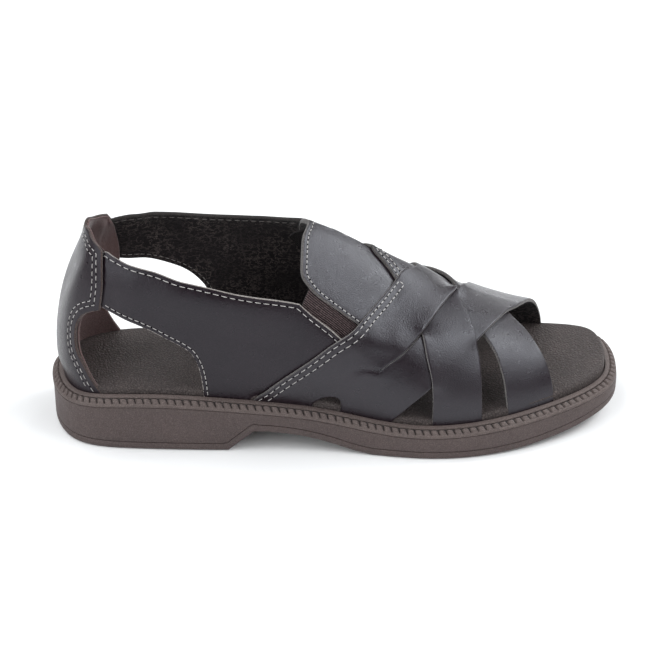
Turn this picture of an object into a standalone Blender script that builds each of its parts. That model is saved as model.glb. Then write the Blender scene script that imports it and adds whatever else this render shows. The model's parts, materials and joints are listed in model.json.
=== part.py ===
"""Woven-strap leather sandal with a closed heel, right shoe.

+X points to the toe, +Y to the inner side of the foot, +Z up. The origin is on
the floor, under the middle of the sole. Lengths in the tables are millimetres.
"""
import bpy
import bmesh
import math
import numpy as np
from mathutils import Vector
from mathutils.geometry import delaunay_2d_cdt

for old in list(bpy.data.objects):
    bpy.data.objects.remove(old, do_unlink=True)

# ---- main sizes -------------------------------------------------------------
MM = 0.001
LENGTH = 292.0            # outsole, heel to toe
WELT_WIDTH = 5.8          # from the sole's lip to the welt's inner edge
WELT_DEPTH = 1.6          # how far the welt reaches below the lip
LEATHER = 2.0             # wall of the upper
COUNTER = 1.4             # stiff leather of the heel counter
PANEL = 1.8               # leather of the instep panel
ELASTIC = 1.2             # gore
GAP = 0.3                 # clearance between neighbouring pieces
CURVED_GAP = 0.45         # the same between two bent sheets, measured at their corners
INSOLE_RISE = 3.4         # footbed above the welt's inner edge
INSOLE_ROUND = 1.8        # rounding of the footbed's top edge
TOE_SPRING = 9.2          # lift of the sole at the toe tip
HEEL_LEAN = 0.43          # how far the sole's wall leans in below the lip at the heel
TOE_FLARE = 0.32          # how far it flares out below the lip at the forefoot
SPRING_START = 205.0      # where the sole starts to lift
SIDE_STEP = 4.0           # sampling of the edges
FACE_STEP = 7.0           # sampling of the leather faces

# Lip of the outsole seen from above, once round from the heel back.
# Columns: name, x (heel to toe), y (inner side of the foot is +)
OUTLINE = [
    ("heel_back",      0.0,    0.0), ("heel_lat_a",     6.0,  -20.0), ("heel_lat_b",    20.8,  -33.1),
    ("heel_lat_c",    49.1,  -38.0), ("waist_lat_a",   84.3,  -40.7), ("waist_lat_b",  119.5,  -42.4),
    ("waist_lat_c",  149.6,  -45.7), ("ball_lat_a",   179.4,  -51.4), ("ball_lat_b",   204.2,  -52.7),
    ("toe_lat_a",    228.9,  -48.7), ("toe_lat_b",    253.6,  -39.5), ("toe_lat_c",    274.2,  -27.6),
    ("toe_lat_d",    287.6,  -13.0), ("toe_tip",      292.0,    5.0), ("toe_med_d",    291.2,   22.8),
    ("toe_med_c",    282.9,   37.1), ("toe_med_b",    262.7,   44.8), ("ball_med_b",   236.5,   49.7),
    ("ball_med_a",   205.6,   52.0), ("waist_med_c",  175.1,   48.6), ("waist_med_b",  144.9,   40.3),
    ("waist_med_a",  114.8,   36.8), ("heel_med_d",    84.6,   35.4), ("heel_med_c",    49.2,   35.6),
    ("heel_med_b",    20.8,   33.5), ("heel_med_a",     2.9,   20.8),
]

# Columns: x, height of the lip, rise of the welt to its inner edge
LIP = [
    (0.0, 22.8, 3.06), (50.0, 26.4, 3.06), (100.0, 23.7, 3.06), (135.0, 19.5, 3.0), (165.0, 14.5, 2.9),
    (200.0, 13.4, 2.85), (230.0, 15.2, 2.85), (260.0, 17.3, 2.85), (292.0, 18.8, 2.85),
]

# Underside between heel and forefoot. Columns: x, height above the floor
UNDERSIDE = [
    (0.0, 0.0), (89.5, 0.0), (102.5, 11.0), (110.0, 10.9), (118.0, 10.0), (126.0, 8.8),
    (136.0, 6.6), (146.0, 3.6), (154.0, 1.3), (162.0, 0.0), (292.0, 0.0),
]

# Half sections of the last, climbing from the feather line (where the wall
# meets the welt) to the crest of the instep, one table for each side.
# share: distance along that side from the heel back (0) to the toe (1).
# reach: how far a point stands out from the crest, 1 = above the feather line.
# Columns: share, crest x, y, z, wall reach, wall z, shoulder reach, shoulder z
SECTION_KNOTS = (0.0, 0.3, 0.65, 1.0)     # feather, wall, shoulder, crest
LATERAL_SECTIONS = [
    (0.00,  45.0, 0.0, 175.0, 1.005, 55.0, 0.679, 100.0),
    (0.08,  60.0, 0.0, 138.0, 0.970, 67.0, 0.740, 104.0),
    (0.16,  82.0, 1.0, 124.0, 0.985, 68.0, 0.855, 101.0),
    (0.21,  90.0, 1.5, 121.0, 1.000, 68.0, 0.895,  99.0),
    (0.26, 100.0, 2.0, 119.0, 1.025, 66.0, 0.950,  94.5),
    (0.32, 113.0, 3.0, 114.5, 1.050, 62.0, 0.960,  91.5),
    (0.38, 128.0, 4.0, 110.3, 1.060, 58.0, 0.920,  89.5),
    (0.46, 155.0, 6.0,  97.6, 1.010, 55.0, 0.780,  80.5),
    (0.55, 182.0, 7.0,  81.0, 0.975, 44.0, 0.710,  66.0),
    (0.66, 214.0, 7.5,  62.5, 0.940, 37.5, 0.650,  55.5),
    (0.77, 244.0, 7.5,  51.5, 0.900, 34.5, 0.600,  46.5),
    (1.00, 284.0, 7.0,  40.0, 0.900, 30.0, 0.600,  38.0),
]
MEDIAL_SECTIONS = [
    (0.00,  45.0, 0.0, 175.0, 1.005, 55.0, 0.679, 100.0),
    (0.08,  60.0, 0.0, 140.0, 0.950, 67.0, 0.720, 104.0),
    (0.16,  82.0, 1.0, 124.0, 0.985, 68.0, 0.860, 102.0),
    (0.21,  90.0, 1.5, 121.0, 1.000, 68.0, 0.910, 100.5),
    (0.26, 100.0, 2.0, 119.0, 1.035, 66.0, 0.985,  99.5),
    (0.32, 113.0, 3.0, 114.5, 1.065, 63.0, 1.000,  98.0),
    (0.38, 128.0, 4.0, 110.3, 1.075, 59.0, 0.960,  96.5),
    (0.46, 155.0, 6.0,  97.6, 1.020, 55.0, 0.790,  86.0),
    (0.55, 182.0, 7.0,  81.0, 0.975, 44.0, 0.720,  66.5),
    (0.66, 214.0, 7.5,  62.5, 0.940, 37.0, 0.655,  54.8),
    (0.77, 244.0, 7.5,  51.5, 0.900, 34.0, 0.600,  45.5),
    (1.00, 284.0, 7.0,  40.0, 0.900, 30.0, 0.600,  38.0),
]

# Edges of the leather on the last. Columns: side, share, rise (0 feather line, 1 crest)
L, M = "lateral", "medial"
TOP_RIM = [(M, 0.116, 0.664), (M, 0.088, 0.674), (M, 0.050, 0.689), (L, 0.000, 0.693),
           (L, 0.048, 0.684), (L, 0.090, 0.665), (L, 0.104, 0.656)]
COUNTER_FRONT_LATERAL = [(L, 0.104, 0.656), (L, 0.119, 0.606), (L, 0.131, 0.533), (L, 0.134, 0.447), (L, 0.131, 0.365)]
COUNTER_CUT_LATERAL = [(L, 0.131, 0.365), (L, 0.109, 0.346), (L, 0.091, 0.312), (L, 0.084, 0.272),
                       (L, 0.083, 0.208), (L, 0.088, 0.159), (L, 0.098, 0.121), (L, 0.110, 0.074),
                       (L, 0.120, 0.036), (L, 0.132, 0.0)]
COUNTER_CUT_MEDIAL = [(M, 0.174, 0.0), (M, 0.165, 0.036), (M, 0.156, 0.074), (M, 0.146, 0.121),
                      (M, 0.136, 0.159), (M, 0.130, 0.208), (M, 0.130, 0.272), (M, 0.137, 0.312),
                      (M, 0.152, 0.346), (M, 0.171, 0.365)]
COUNTER_FRONT_MEDIAL = [(M, 0.171, 0.365), (M, 0.171, 0.440), (M, 0.164, 0.527), (M, 0.148, 0.602), (M, 0.116, 0.664)]

QUARTER_TOP_LATERAL = [(L, 0.092, 0.620), (L, 0.100, 0.652), (L, 0.108, 0.662), (L, 0.126, 0.659), (L, 0.150, 0.652),
                       (L, 0.198, 0.634), (L, 0.250, 0.631), (L, 0.305, 0.620), (L, 0.372, 0.586),
                       (L, 0.403, 0.580), (L, 0.421, 0.576)]
QUARTER_GORE_LATERAL = [(L, 0.421, 0.576), (L, 0.438, 0.520), (L, 0.467, 0.440), (L, 0.482, 0.396)]
QUARTER_CUT_LATERAL = [(L, 0.284, 0.0), (L, 0.2835, 0.056), (L, 0.2817, 0.108), (L, 0.2775, 0.154), (L, 0.270, 0.194),
                       (L, 0.257, 0.221), (L, 0.239, 0.243), (L, 0.2035, 0.291), (L, 0.1654, 0.335),
                       (L, 0.132, 0.376), (L, 0.108, 0.405)]
QUARTER_TOP_MEDIAL = [(M, 0.105, 0.605), (M, 0.125, 0.632), (M, 0.144, 0.648), (M, 0.161, 0.662), (M, 0.178, 0.674),
                      (M, 0.204, 0.676), (M, 0.233, 0.668), (M, 0.269, 0.661), (M, 0.300, 0.657), (M, 0.343, 0.656),
                      (M, 0.384, 0.664), (M, 0.402, 0.690), (M, 0.416, 0.740), (M, 0.424, 0.800)]
QUARTER_GORE_MEDIAL = [(M, 0.424, 0.800), (M, 0.432, 0.700), (M, 0.445, 0.600), (M, 0.467, 0.500), (M, 0.490, 0.430)]
QUARTER_CUT_MEDIAL = [(M, 0.311, 0.0), (M, 0.3125, 0.080), (M, 0.3134, 0.177), (M, 0.3091, 0.228), (M, 0.2985, 0.270),
                      (M, 0.2819, 0.310), (M, 0.262, 0.334), (M, 0.2381, 0.350), (M, 0.2132, 0.361),
                      (M, 0.1855, 0.368), (M, 0.163, 0.376), (M, 0.140, 0.390)]

# The two wings, each cut into two fingers, A behind and C in front.
A_LATERAL_REAR = [(L, 0.357, 0.0), (L, 0.3761, 0.060), (L, 0.3926, 0.113), (L, 0.4232, 0.200), (L, 0.4519, 0.290),
                  (L, 0.4764, 0.392), (L, 0.493, 0.479), (L, 0.509, 0.624), (L, 0.530, 0.783), (L, 0.5405, 0.862),
                  (L, 0.5506, 0.937), (L, 0.5648, 0.984), (M, 0.574, 0.930), (M, 0.583, 0.800), (M, 0.592, 0.640),
                  (M, 0.603, 0.451), (M, 0.611, 0.300), (M, 0.615, 0.145), (M, 0.615, 0.0)]
A_LATERAL_FRONT = [(L, 0.536, 0.306), (L, 0.565, 0.448), (L, 0.593, 0.641), (L, 0.615, 0.800), (L, 0.629, 0.897),
                   (L, 0.637, 0.957), (M, 0.646, 0.940), (M, 0.657, 0.830), (M, 0.670, 0.705), (M, 0.680, 0.599),
                   (M, 0.687, 0.451), (M, 0.690, 0.295), (M, 0.693, 0.0)]
C_LATERAL_REAR = [(L, 0.536, 0.306), (L, 0.565, 0.448), (L, 0.593, 0.641), (L, 0.615, 0.800), (L, 0.629, 0.897),
                  (L, 0.637, 0.957), (M, 0.655, 0.960), (M, 0.676, 0.850), (M, 0.694, 0.720), (M, 0.710, 0.580),
                  (M, 0.720, 0.426), (M, 0.729, 0.187), (M, 0.734, 0.0)]
C_LATERAL_FRONT = [(L, 0.554, 0.0), (L, 0.569, 0.065), (L, 0.585, 0.134), (L, 0.611, 0.253), (L, 0.645, 0.440),
                   (L, 0.680, 0.645), (L, 0.700, 0.755), (L, 0.716, 0.841), (L, 0.734, 0.925), (L, 0.752, 0.990),
                   (M, 0.775, 0.910), (M, 0.800, 0.760), (M, 0.820, 0.570), (M, 0.834, 0.300), (M, 0.839, 0.100), (M, 0.840, 0.0)]
A_MEDIAL_REAR = [(M, 0.357, 0.0), (M, 0.384, 0.061), (M, 0.413, 0.156), (M, 0.442, 0.245), (M, 0.468, 0.345),
                 (M, 0.484, 0.440), (M, 0.495, 0.540), (M, 0.502, 0.650), (M, 0.504, 0.770), (M, 0.499, 0.880),
                 (M, 0.494, 0.970), (L, 0.500, 0.967), (L, 0.515, 0.939), (L, 0.530, 0.905), (L, 0.542, 0.876),
                 (L, 0.565, 0.800), (L, 0.581, 0.715), (L, 0.591, 0.627), (L, 0.603, 0.451), (L, 0.611, 0.330),
                 (L, 0.615, 0.200), (L, 0.615, 0.0)]
A_MEDIAL_FRONT = [(M, 0.536, 0.306), (M, 0.565, 0.448), (M, 0.590, 0.620), (M, 0.608, 0.780), (M, 0.622, 0.930),
                  (L, 0.634, 0.955), (L, 0.646, 0.869), (L, 0.658, 0.799), (L, 0.670, 0.705), (L, 0.680, 0.599),
                  (L, 0.687, 0.451), (L, 0.690, 0.295), (L, 0.693, 0.0)]
C_MEDIAL_REAR = [(M, 0.536, 0.306), (M, 0.565, 0.448), (M, 0.590, 0.620), (M, 0.608, 0.780), (M, 0.622, 0.930),
                 (L, 0.638, 0.957), (L, 0.660, 0.860), (L, 0.676, 0.770), (L, 0.692, 0.682), (L, 0.702, 0.618),
                 (L, 0.712, 0.529), (L, 0.719, 0.426), (L, 0.725, 0.318), (L, 0.729, 0.187), (L, 0.734, 0.0)]
C_MEDIAL_FRONT = [(M, 0.554, 0.0), (M, 0.569, 0.065), (M, 0.585, 0.134), (M, 0.611, 0.253), (M, 0.650, 0.470),
                  (M, 0.685, 0.690), (M, 0.706, 0.860), (L, 0.722, 0.975), (L, 0.7398, 0.888), (L, 0.7612, 0.802),
                  (L, 0.784, 0.641), (L, 0.7983, 0.465), (L, 0.8055, 0.315), (L, 0.8108, 0.120),
                  (L, 0.812, 0.0)]
# Small arched cut at the welt, on both sides. Columns: share, rise
ARCH_CUT = [(0.441, -0.06), (0.4415, 0.014), (0.450, 0.039), (0.460, 0.057), (0.469, 0.064), (0.476, 0.063),
            (0.480, 0.050), (0.4805, 0.025), (0.4765, -0.06)]
# Panel over the instep, tucked under the wings, and the elastic beside it
PANEL_REAR = [(M, 0.434, 0.700), (M, 0.425, 0.770), (M, 0.413, 0.860), (M, 0.402, 0.950), (L, 0.398, 0.985),
              (L, 0.401, 0.916), (L, 0.407, 0.844), (L, 0.413, 0.777), (L, 0.4175, 0.733), (L, 0.421, 0.714),
              (L, 0.426, 0.697)]
PANEL_GORE_LATERAL = [(L, 0.426, 0.697), (L, 0.436, 0.666), (L, 0.463, 0.607), (L, 0.491, 0.565), (L, 0.512, 0.540)]
PANEL_FRONT = [(L, 0.512, 0.540), (L, 0.532, 0.660), (L, 0.556, 0.840), (L, 0.575, 0.960), (M, 0.560, 0.900),
               (M, 0.535, 0.740), (M, 0.512, 0.590)]
PANEL_GORE_MEDIAL = [(M, 0.512, 0.590), (M, 0.491, 0.605), (M, 0.463, 0.640), (M, 0.444, 0.680), (M, 0.434, 0.700)]
# The elastic of each gore: its upper edge lies under the panel, its lower edge under the quarter.
GORE_OUTLINES = {
    L: [[(L, 0.418, 0.640), (L, 0.440, 0.700), (L, 0.465, 0.650)],
        [(L, 0.465, 0.650), (L, 0.500, 0.600), (L, 0.515, 0.560)],
        [(L, 0.515, 0.560), (L, 0.505, 0.440), (L, 0.488, 0.350)],
        [(L, 0.488, 0.350), (L, 0.460, 0.400), (L, 0.418, 0.500)],
        [(L, 0.418, 0.500), (L, 0.410, 0.560), (L, 0.418, 0.640)]],
    M: [[(M, 0.428, 0.770), (M, 0.455, 0.760), (M, 0.480, 0.690)],
        [(M, 0.480, 0.690), (M, 0.502, 0.645), (M, 0.518, 0.600)],
        [(M, 0.518, 0.600), (M, 0.512, 0.480), (M, 0.497, 0.385)],
        [(M, 0.497, 0.385), (M, 0.474, 0.450), (M, 0.440, 0.560)],
        [(M, 0.440, 0.560), (M, 0.426, 0.660), (M, 0.428, 0.770)]],
}

# ---- curves -----------------------------------------------------------------


def spline(xs, ys, closed=False):
    """Cubic spline through the points, natural or periodic, as a function."""
    xs, ys = np.asarray(xs, float), np.asarray(ys, float)
    if closed:
        k, turn = 4, xs[-1] - xs[0]
        xs = np.concatenate([xs[-k - 1:-1] - turn, xs, xs[1:k + 1] + turn])
        ys = np.concatenate([ys[-k - 1:-1], ys, ys[1:k + 1]])
    n, h = len(xs), np.diff(xs)
    a, b = np.zeros((n, n)), np.zeros(n)
    a[0, 0] = a[-1, -1] = 1.0
    for i in range(1, n - 1):
        a[i, i - 1:i + 2] = h[i - 1], 2 * (h[i - 1] + h[i]), h[i]
        b[i] = 6 * ((ys[i + 1] - ys[i]) / h[i] - (ys[i] - ys[i - 1]) / h[i - 1])
    m = np.linalg.solve(a, b)

    def value(x):
        x = np.asarray(x, float)
        i = np.clip(np.searchsorted(xs, x) - 1, 0, n - 2)
        t = x - xs[i]
        c = (ys[i + 1] - ys[i]) / h[i] - h[i] * (2 * m[i] + m[i + 1]) / 6
        return ys[i] + t * (c + t * (m[i] / 2 + t * (m[i + 1] - m[i]) / (6 * h[i])))

    return value


def monotone(xs, ys):
    """Smooth curve through the points that never overshoots them."""
    xs, ys = np.asarray(xs, float), np.asarray(ys, float)
    h, d = np.diff(xs), np.diff(ys) / np.diff(xs)
    m = np.zeros(len(xs))
    m[0], m[-1] = d[0], d[-1]
    for i in range(1, len(xs) - 1):
        if d[i - 1] * d[i] > 0:
            w1, w2 = 2 * h[i] + h[i - 1], h[i] + 2 * h[i - 1]
            m[i] = (w1 + w2) / (w1 / d[i - 1] + w2 / d[i])

    def value(x):
        x = np.clip(np.asarray(x, float), xs[0], xs[-1])
        i = np.clip(np.searchsorted(xs, x) - 1, 0, len(h) - 1)
        t = (x - xs[i]) / h[i]
        return (ys[i] * (1 + 2 * t) * (1 - t) ** 2 + h[i] * m[i] * t * (1 - t) ** 2
                + ys[i + 1] * t * t * (3 - 2 * t) + h[i] * m[i + 1] * t * t * (t - 1))

    return value


def smooth_step(a, b, x):
    t = np.clip((np.asarray(x, float) - a) / (b - a), 0, 1)
    return t * t * (3 - 2 * t)


# ---- sole outline -----------------------------------------------------------
CORNERS = len(OUTLINE)
outline_x = spline(range(CORNERS + 1), [r[1] for r in OUTLINE] + [OUTLINE[0][1]], closed=True)
outline_y = spline(range(CORNERS + 1), [r[2] for r in OUTLINE] + [OUTLINE[0][2]], closed=True)
_t = np.linspace(0, CORNERS, 2601)
RIM = np.stack([outline_x(_t), outline_y(_t)], 1)
RIM_S = np.concatenate([[0], np.cumsum(np.linalg.norm(np.diff(RIM, axis=0), axis=1))])
_d = np.gradient(RIM, RIM_S, axis=0)
_d[0] = _d[-1] = (_d[1] + _d[-2]) / 2
_d /= np.linalg.norm(_d, axis=1)[:, None]
RIM_IN = np.stack([-_d[:, 1], _d[:, 0]], 1)
PERIMETER = float(RIM_S[-1])
TOE_S = float(RIM_S[np.argmax(RIM[:, 0])])
SIDE_LENGTH = {L: TOE_S, M: PERIMETER - TOE_S}
ORIGIN = np.array([(RIM[:, 0].min() + RIM[:, 0].max() + TOE_FLARE) / 2, (RIM[:, 1].min() + RIM[:, 1].max()) / 2, 0.0])

lip_height = spline([r[0] for r in LIP], [r[1] for r in LIP])
welt_rise = monotone([r[0] for r in LIP], [r[2] for r in LIP])


def outline(s, inset=0.0):
    """Points of the lip at arc length s from the heel back, lateral side first, moved inward by inset."""
    s = np.mod(np.asarray(s, float), PERIMETER)
    x, y = np.interp(s, RIM_S, RIM[:, 0]), np.interp(s, RIM_S, RIM[:, 1])
    nx, ny = np.interp(s, RIM_S, RIM_IN[:, 0]), np.interp(s, RIM_S, RIM_IN[:, 1])
    n = np.hypot(nx, ny)
    return np.stack([x + nx / n * inset, y + ny / n * inset], -1)


def underside(x):
    x = np.asarray(x, float)
    arch = np.interp(x, [r[0] for r in UNDERSIDE], [r[1] for r in UNDERSIDE])
    return arch + TOE_SPRING * (np.clip(x - SPRING_START, 0, None) / (LENGTH - SPRING_START)) ** 2


# ---- the last ---------------------------------------------------------------
FEATHER_INSET = WELT_WIDTH + GAP
TUCK = -0.03              # rise of the wall's lower end, below the feather line
TUCK_SCALE = 150.0        # millimetres for each unit of rise below the feather line
CHART = 100.0             # spread of the pattern sheet, millimetres from crest to feather
# The first row past the heel on the other side is carried round, so the back of the heel is smooth.
SECTIONS = {side: [monotone([-other[1][0]] + [r[0] for r in rows], [other[1][i]] + [r[i] for r in rows])
                   for i in range(1, 8)]
            for side, rows, other in ((L, LATERAL_SECTIONS, MEDIAL_SECTIONS), (M, MEDIAL_SECTIONS, LATERAL_SECTIONS))}


def feather(side, share):
    """Foot of the wall's outer face, level with the welt's inner edge."""
    s = np.asarray(share, float) * SIDE_LENGTH[side]
    p = outline(s if side == L else -s, FEATHER_INSET)
    return np.concatenate([p, (lip_height(p[..., 0]) + welt_rise(p[..., 0]))[..., None]], -1)


def last(side, share, rise):
    """Point of the last at a share along one side and a rise from feather line (0) to crest (1)."""
    share, rise = np.broadcast_arrays(np.asarray(share, float), np.asarray(rise, float))
    foot = feather(side, share)
    cx, cy, cz, wr, wz, sr, sz = [g(share) for g in SECTIONS[side]]
    r = [np.ones_like(wr), wr, sr, np.zeros_like(wr)]
    z = [foot[..., 2], wz, sz, cz]
    k = np.diff(SECTION_KNOTS)

    def slopes(v, top):
        d = [(v[i + 1] - v[i]) / k[i] for i in range(3)]
        return [(d[0] * (2 * k[0] + k[1]) - d[1] * k[0]) / (k[0] + k[1]),
                (d[0] * k[1] + d[1] * k[0]) / (k[0] + k[1]),
                (d[1] * k[2] + d[2] * k[1]) / (k[1] + k[2]), d[2] * top]

    i = np.clip(np.searchsorted(SECTION_KNOTS, rise, side="right") - 1, 0, 2)
    t = np.maximum((rise - np.take(SECTION_KNOTS, i)) / np.take(k, i), 0)

    def hermite(v, m):
        h = np.take(k, i)
        return (np.choose(i, v) * (1 + 2 * t) * (1 - t) ** 2 + h * np.choose(i, m) * t * (1 - t) ** 2
                + np.choose(i + 1, v) * t * t * (3 - 2 * t) + h * np.choose(i + 1, m) * t * t * (t - 1))

    reach = hermite(r, slopes(r, 1.15))
    height = hermite(z, slopes(z, 0.0)) + np.minimum(rise, 0) * TUCK_SCALE
    crest = np.stack([cx, cy], -1)
    return np.concatenate([crest + (foot[..., :2] - crest) * reach[..., None], height[..., None]], -1)


def last_normal(side, share, rise):
    h = 1e-3
    share, rise = np.asarray(share, float), np.asarray(rise, float)
    du = last(side, np.clip(share + h, 0, 1), rise) - last(side, np.clip(share - h, 0, 1), rise)
    top = np.minimum(rise + h, 1)
    dr = last(side, share, top) - last(side, share, top - 2 * h)
    n = np.cross(du, dr) * (1 if side == L else -1)
    return n / np.linalg.norm(n, axis=-1)[..., None]


# The pattern sheet: both sides of the last unrolled into one plane that is
# joined along the crest and round the heel.


def crest_xy(share):
    return np.stack([SECTIONS[L][0](share), SECTIONS[L][1](share)], -1)


def ray(side, share):
    d = feather(side, share)[..., :2] - crest_xy(share)
    return d / np.linalg.norm(d, axis=-1)[..., None]


def to_sheet(rows):
    """Sheet points of rows (side, share, rise)."""
    out = []
    for side, share, rise in rows:
        out.append(crest_xy(share) + ray(side, share) * CHART * (1 - rise))
    return np.array(out)


def from_sheet(q):
    """Side flags (True lateral), shares and rises of sheet points."""
    q = np.asarray(q, float)
    table = np.linspace(0, 1, 401)
    line = crest_xy(table)
    lateral = q[:, 1] < np.interp(q[:, 0], line[:, 0], line[:, 1])
    share = np.zeros(len(q))
    for side, mask in ((L, lateral), (M, ~lateral)):
        if not mask.any():
            continue
        p, lo, hi = q[mask], np.zeros(mask.sum()), np.ones(mask.sum())
        for _ in range(34):
            mid = (lo + hi) / 2
            d, v = ray(side, mid), p - crest_xy(mid)
            turn = (d[:, 0] * v[:, 1] - d[:, 1] * v[:, 0]) * (1 if side == L else -1)
            ahead = turn > 0
            lo, hi = np.where(ahead, mid, lo), np.where(ahead, hi, mid)
        share[mask] = (lo + hi) / 2
    rise = 1 - np.linalg.norm(q - crest_xy(share), axis=1) / CHART
    return lateral, share, rise


def surface(q):
    """Points and outward normals on the last for sheet points."""
    lateral, share, rise = from_sheet(q)
    p, n = np.zeros((len(q), 3)), np.zeros((len(q), 3))
    for side, mask in ((L, lateral), (M, ~lateral)):
        if mask.any():
            p[mask] = last(side, share[mask], rise[mask])
            n[mask] = last_normal(side, share[mask], rise[mask])
    return p, n, lateral, share, rise


def smooth_edge(rows, step=SIDE_STEP):
    """Sheet points along a smooth edge through the rows."""
    c = to_sheet(rows)
    s = np.concatenate([[0], np.cumsum(np.linalg.norm(np.diff(c, axis=0), axis=1))])
    n = max(2, int(round(s[-1] / step)) + 1)
    u = np.linspace(0, s[-1], n)
    if len(rows) < 3:
        return np.stack([np.interp(u, s, c[:, 0]), np.interp(u, s, c[:, 1])], 1)
    return np.stack([spline(s, c[:, 0])(u), spline(s, c[:, 1])(u)], 1)


def foot_edge(side, share0, share1, step=SIDE_STEP):
    """Sheet points along the wall's lower end, tucked behind the welt."""
    n = max(2, int(abs(share1 - share0) * SIDE_LENGTH[side] / step) + 1)
    return to_sheet([(side, s, TUCK) for s in np.linspace(share0, share1, n)])


def ring(*edges):
    """One closed outline from edges laid end to end."""
    pts = []
    for e in edges:
        for p in e:
            if not pts or np.hypot(*(p - pts[-1])) > 0.4:
                pts.append(p)
    if np.hypot(*(pts[0] - pts[-1])) < 0.4:
        pts.pop()
    return np.array(pts)


def inside(poly, q):
    """Even-odd test of points against one outline."""
    x, y = q[:, 0], q[:, 1]
    hit = np.zeros(len(q), bool)
    a, b = poly, np.roll(poly, -1, axis=0)
    for (x0, y0), (x1, y1) in zip(a, b):
        if y0 != y1:
            cross = ((y0 > y) != (y1 > y)) & (x < (x1 - x0) * (y - y0) / (y1 - y0) + x0)
            hit ^= cross
    return hit


# ---- meshes -----------------------------------------------------------------


def edge_distance(q, polys, lines=()):
    """Distance of points from closed outlines and open lines."""
    best = np.full(len(q), 1e9)
    for a, b in [(p, np.roll(p, -1, axis=0)) for p in polys] + [(p[:-1], p[1:]) for p in lines]:
        for p0, p1 in zip(a, b):
            d = p1 - p0
            t = np.clip(((q - p0) @ d) / max(d @ d, 1e-12), 0, 1)
            best = np.minimum(best, np.linalg.norm(q - p0 - t[:, None] * d, axis=1))
    return best


def triangulate(polys, cuts, points, folds):
    """Triangles that fill the union of polys less cuts, with inner points and lines to fold along."""
    keep = points[edge_distance(points, polys + cuts, folds) > 0.38 * FACE_STEP]
    verts, edges = [], []
    for poly in polys + cuts:
        k = len(verts)
        verts += [Vector(p) for p in poly]
        edges += [(k + i, k + (i + 1) % len(poly)) for i in range(len(poly))]
    for line in folds:
        k = len(verts)
        verts += [Vector(p) for p in line]
        edges += [(k + i, k + i + 1) for i in range(len(line) - 1)]
    verts += [Vector(p) for p in keep]
    out = delaunay_2d_cdt(verts, edges, [], 0, 0.15)
    v = np.array([list(p) for p in out[0]])
    f = np.array([t for t in out[2] if len(t) == 3])
    a, b, c = v[f[:, 0]], v[f[:, 1]], v[f[:, 2]]
    area = (b[:, 0] - a[:, 0]) * (c[:, 1] - a[:, 1]) - (b[:, 1] - a[:, 1]) * (c[:, 0] - a[:, 0])
    f[area < 0] = f[area < 0][:, ::-1]
    mid = v[f].mean(1)
    ok = np.zeros(len(f), bool)
    for poly in polys:
        ok |= inside(poly, mid)
    for poly in cuts:
        ok &= ~inside(poly, mid)
    for _ in range(6):                 # close the sheet round any point where two holes meet
        ends = {}
        for t in f[ok]:
            for i in range(3):
                e = (t[i], t[(i + 1) % 3])
                ends[e] = ends.get(e, 0) + 1
        loops = np.zeros(len(v), int)
        for (i, j) in ends:
            if (j, i) not in ends:
                loops[i] += 1
        pinched = np.nonzero(loops > 1)[0]
        if not len(pinched):
            break
        ok |= np.isin(f, pinched).any(1)
    f = f[ok]
    used = np.unique(f)
    new = np.full(len(v), -1)
    new[used] = np.arange(len(used))
    return v[used], new[f]


def close_sheet(top, bottom, tris):
    """Closed body between two copies of a triangulated face."""
    n = len(top)
    count = {}
    for t in tris:
        for i in range(3):
            e = (int(t[i]), int(t[(i + 1) % 3]))
            count[e] = count.get(e, 0) + 1
    faces = [tuple(int(i) for i in t) for t in tris]
    faces += [tuple(int(i) + n for i in t[::-1]) for t in tris]
    for (a, b) in count:
        if (b, a) not in count:
            faces.append((b, a, a + n, b + n))
    return np.concatenate([top, bottom]), faces


def make_object(name, verts, faces, material):
    """Object from millimetre points, centred on the origin of the part."""
    mesh = bpy.data.meshes.new(name)
    mesh.from_pydata([tuple((p - ORIGIN) * MM) for p in verts], [], faces)
    mesh.validate()
    bm = bmesh.new()
    bm.from_mesh(mesh)
    bmesh.ops.remove_doubles(bm, verts=bm.verts, dist=1e-6)
    bmesh.ops.triangulate(bm, faces=bm.faces)
    bmesh.ops.recalc_face_normals(bm, faces=bm.faces)
    if bm.calc_volume(signed=True) < 0:
        bmesh.ops.reverse_faces(bm, faces=bm.faces)
    bm.to_mesh(mesh)
    bm.free()
    mesh.shade_smooth()
    mesh.set_sharp_from_angle(angle=math.radians(40))
    mesh.materials.append(material)
    obj = bpy.data.objects.new(name, mesh)
    bpy.context.collection.objects.link(obj)
    return obj


def make_material(name, colour, roughness):
    mat = bpy.data.materials.new(name)
    mat.use_nodes = True
    bsdf = mat.node_tree.nodes["Principled BSDF"]
    bsdf.inputs["Base Color"].default_value = (*colour, 1.0)
    bsdf.inputs["Roughness"].default_value = roughness
    bsdf.inputs["Metallic"].default_value = 0.0
    return mat


GRID_RISES = [0.07 * i for i in range(1, 14)] + [0.965]
GRID_SPANS = ((0.0, 0.17, 4.0), (0.17, 0.86, FACE_STEP))   # share from, share to, spacing


def sheet_grid():
    """Inner points of the pattern sheet, in rows along the shoe."""
    out = []
    for side in (L, M):
        for j, rise in enumerate(GRID_RISES):
            for start, stop, step in GRID_SPANS:
                n = int(SIDE_LENGTH[side] * (stop - start) / step)
                share = start + (np.arange(n) + (0.5 if j % 2 else 0.0)) / n * (stop - start)
                out.append(crest_xy(share) + ray(side, share) * CHART * (1 - rise))
    return np.concatenate(out)


def fold_lines():
    """The feather line of each side and the crest, which every sheet keeps as edges."""
    foot = [to_sheet([(side, s, 0.0) for s in np.arange(0.0, 0.87, 0.015)]) for side in (L, M)]
    return foot + [crest_xy(np.arange(0.37, 0.80, 0.02))]


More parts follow.
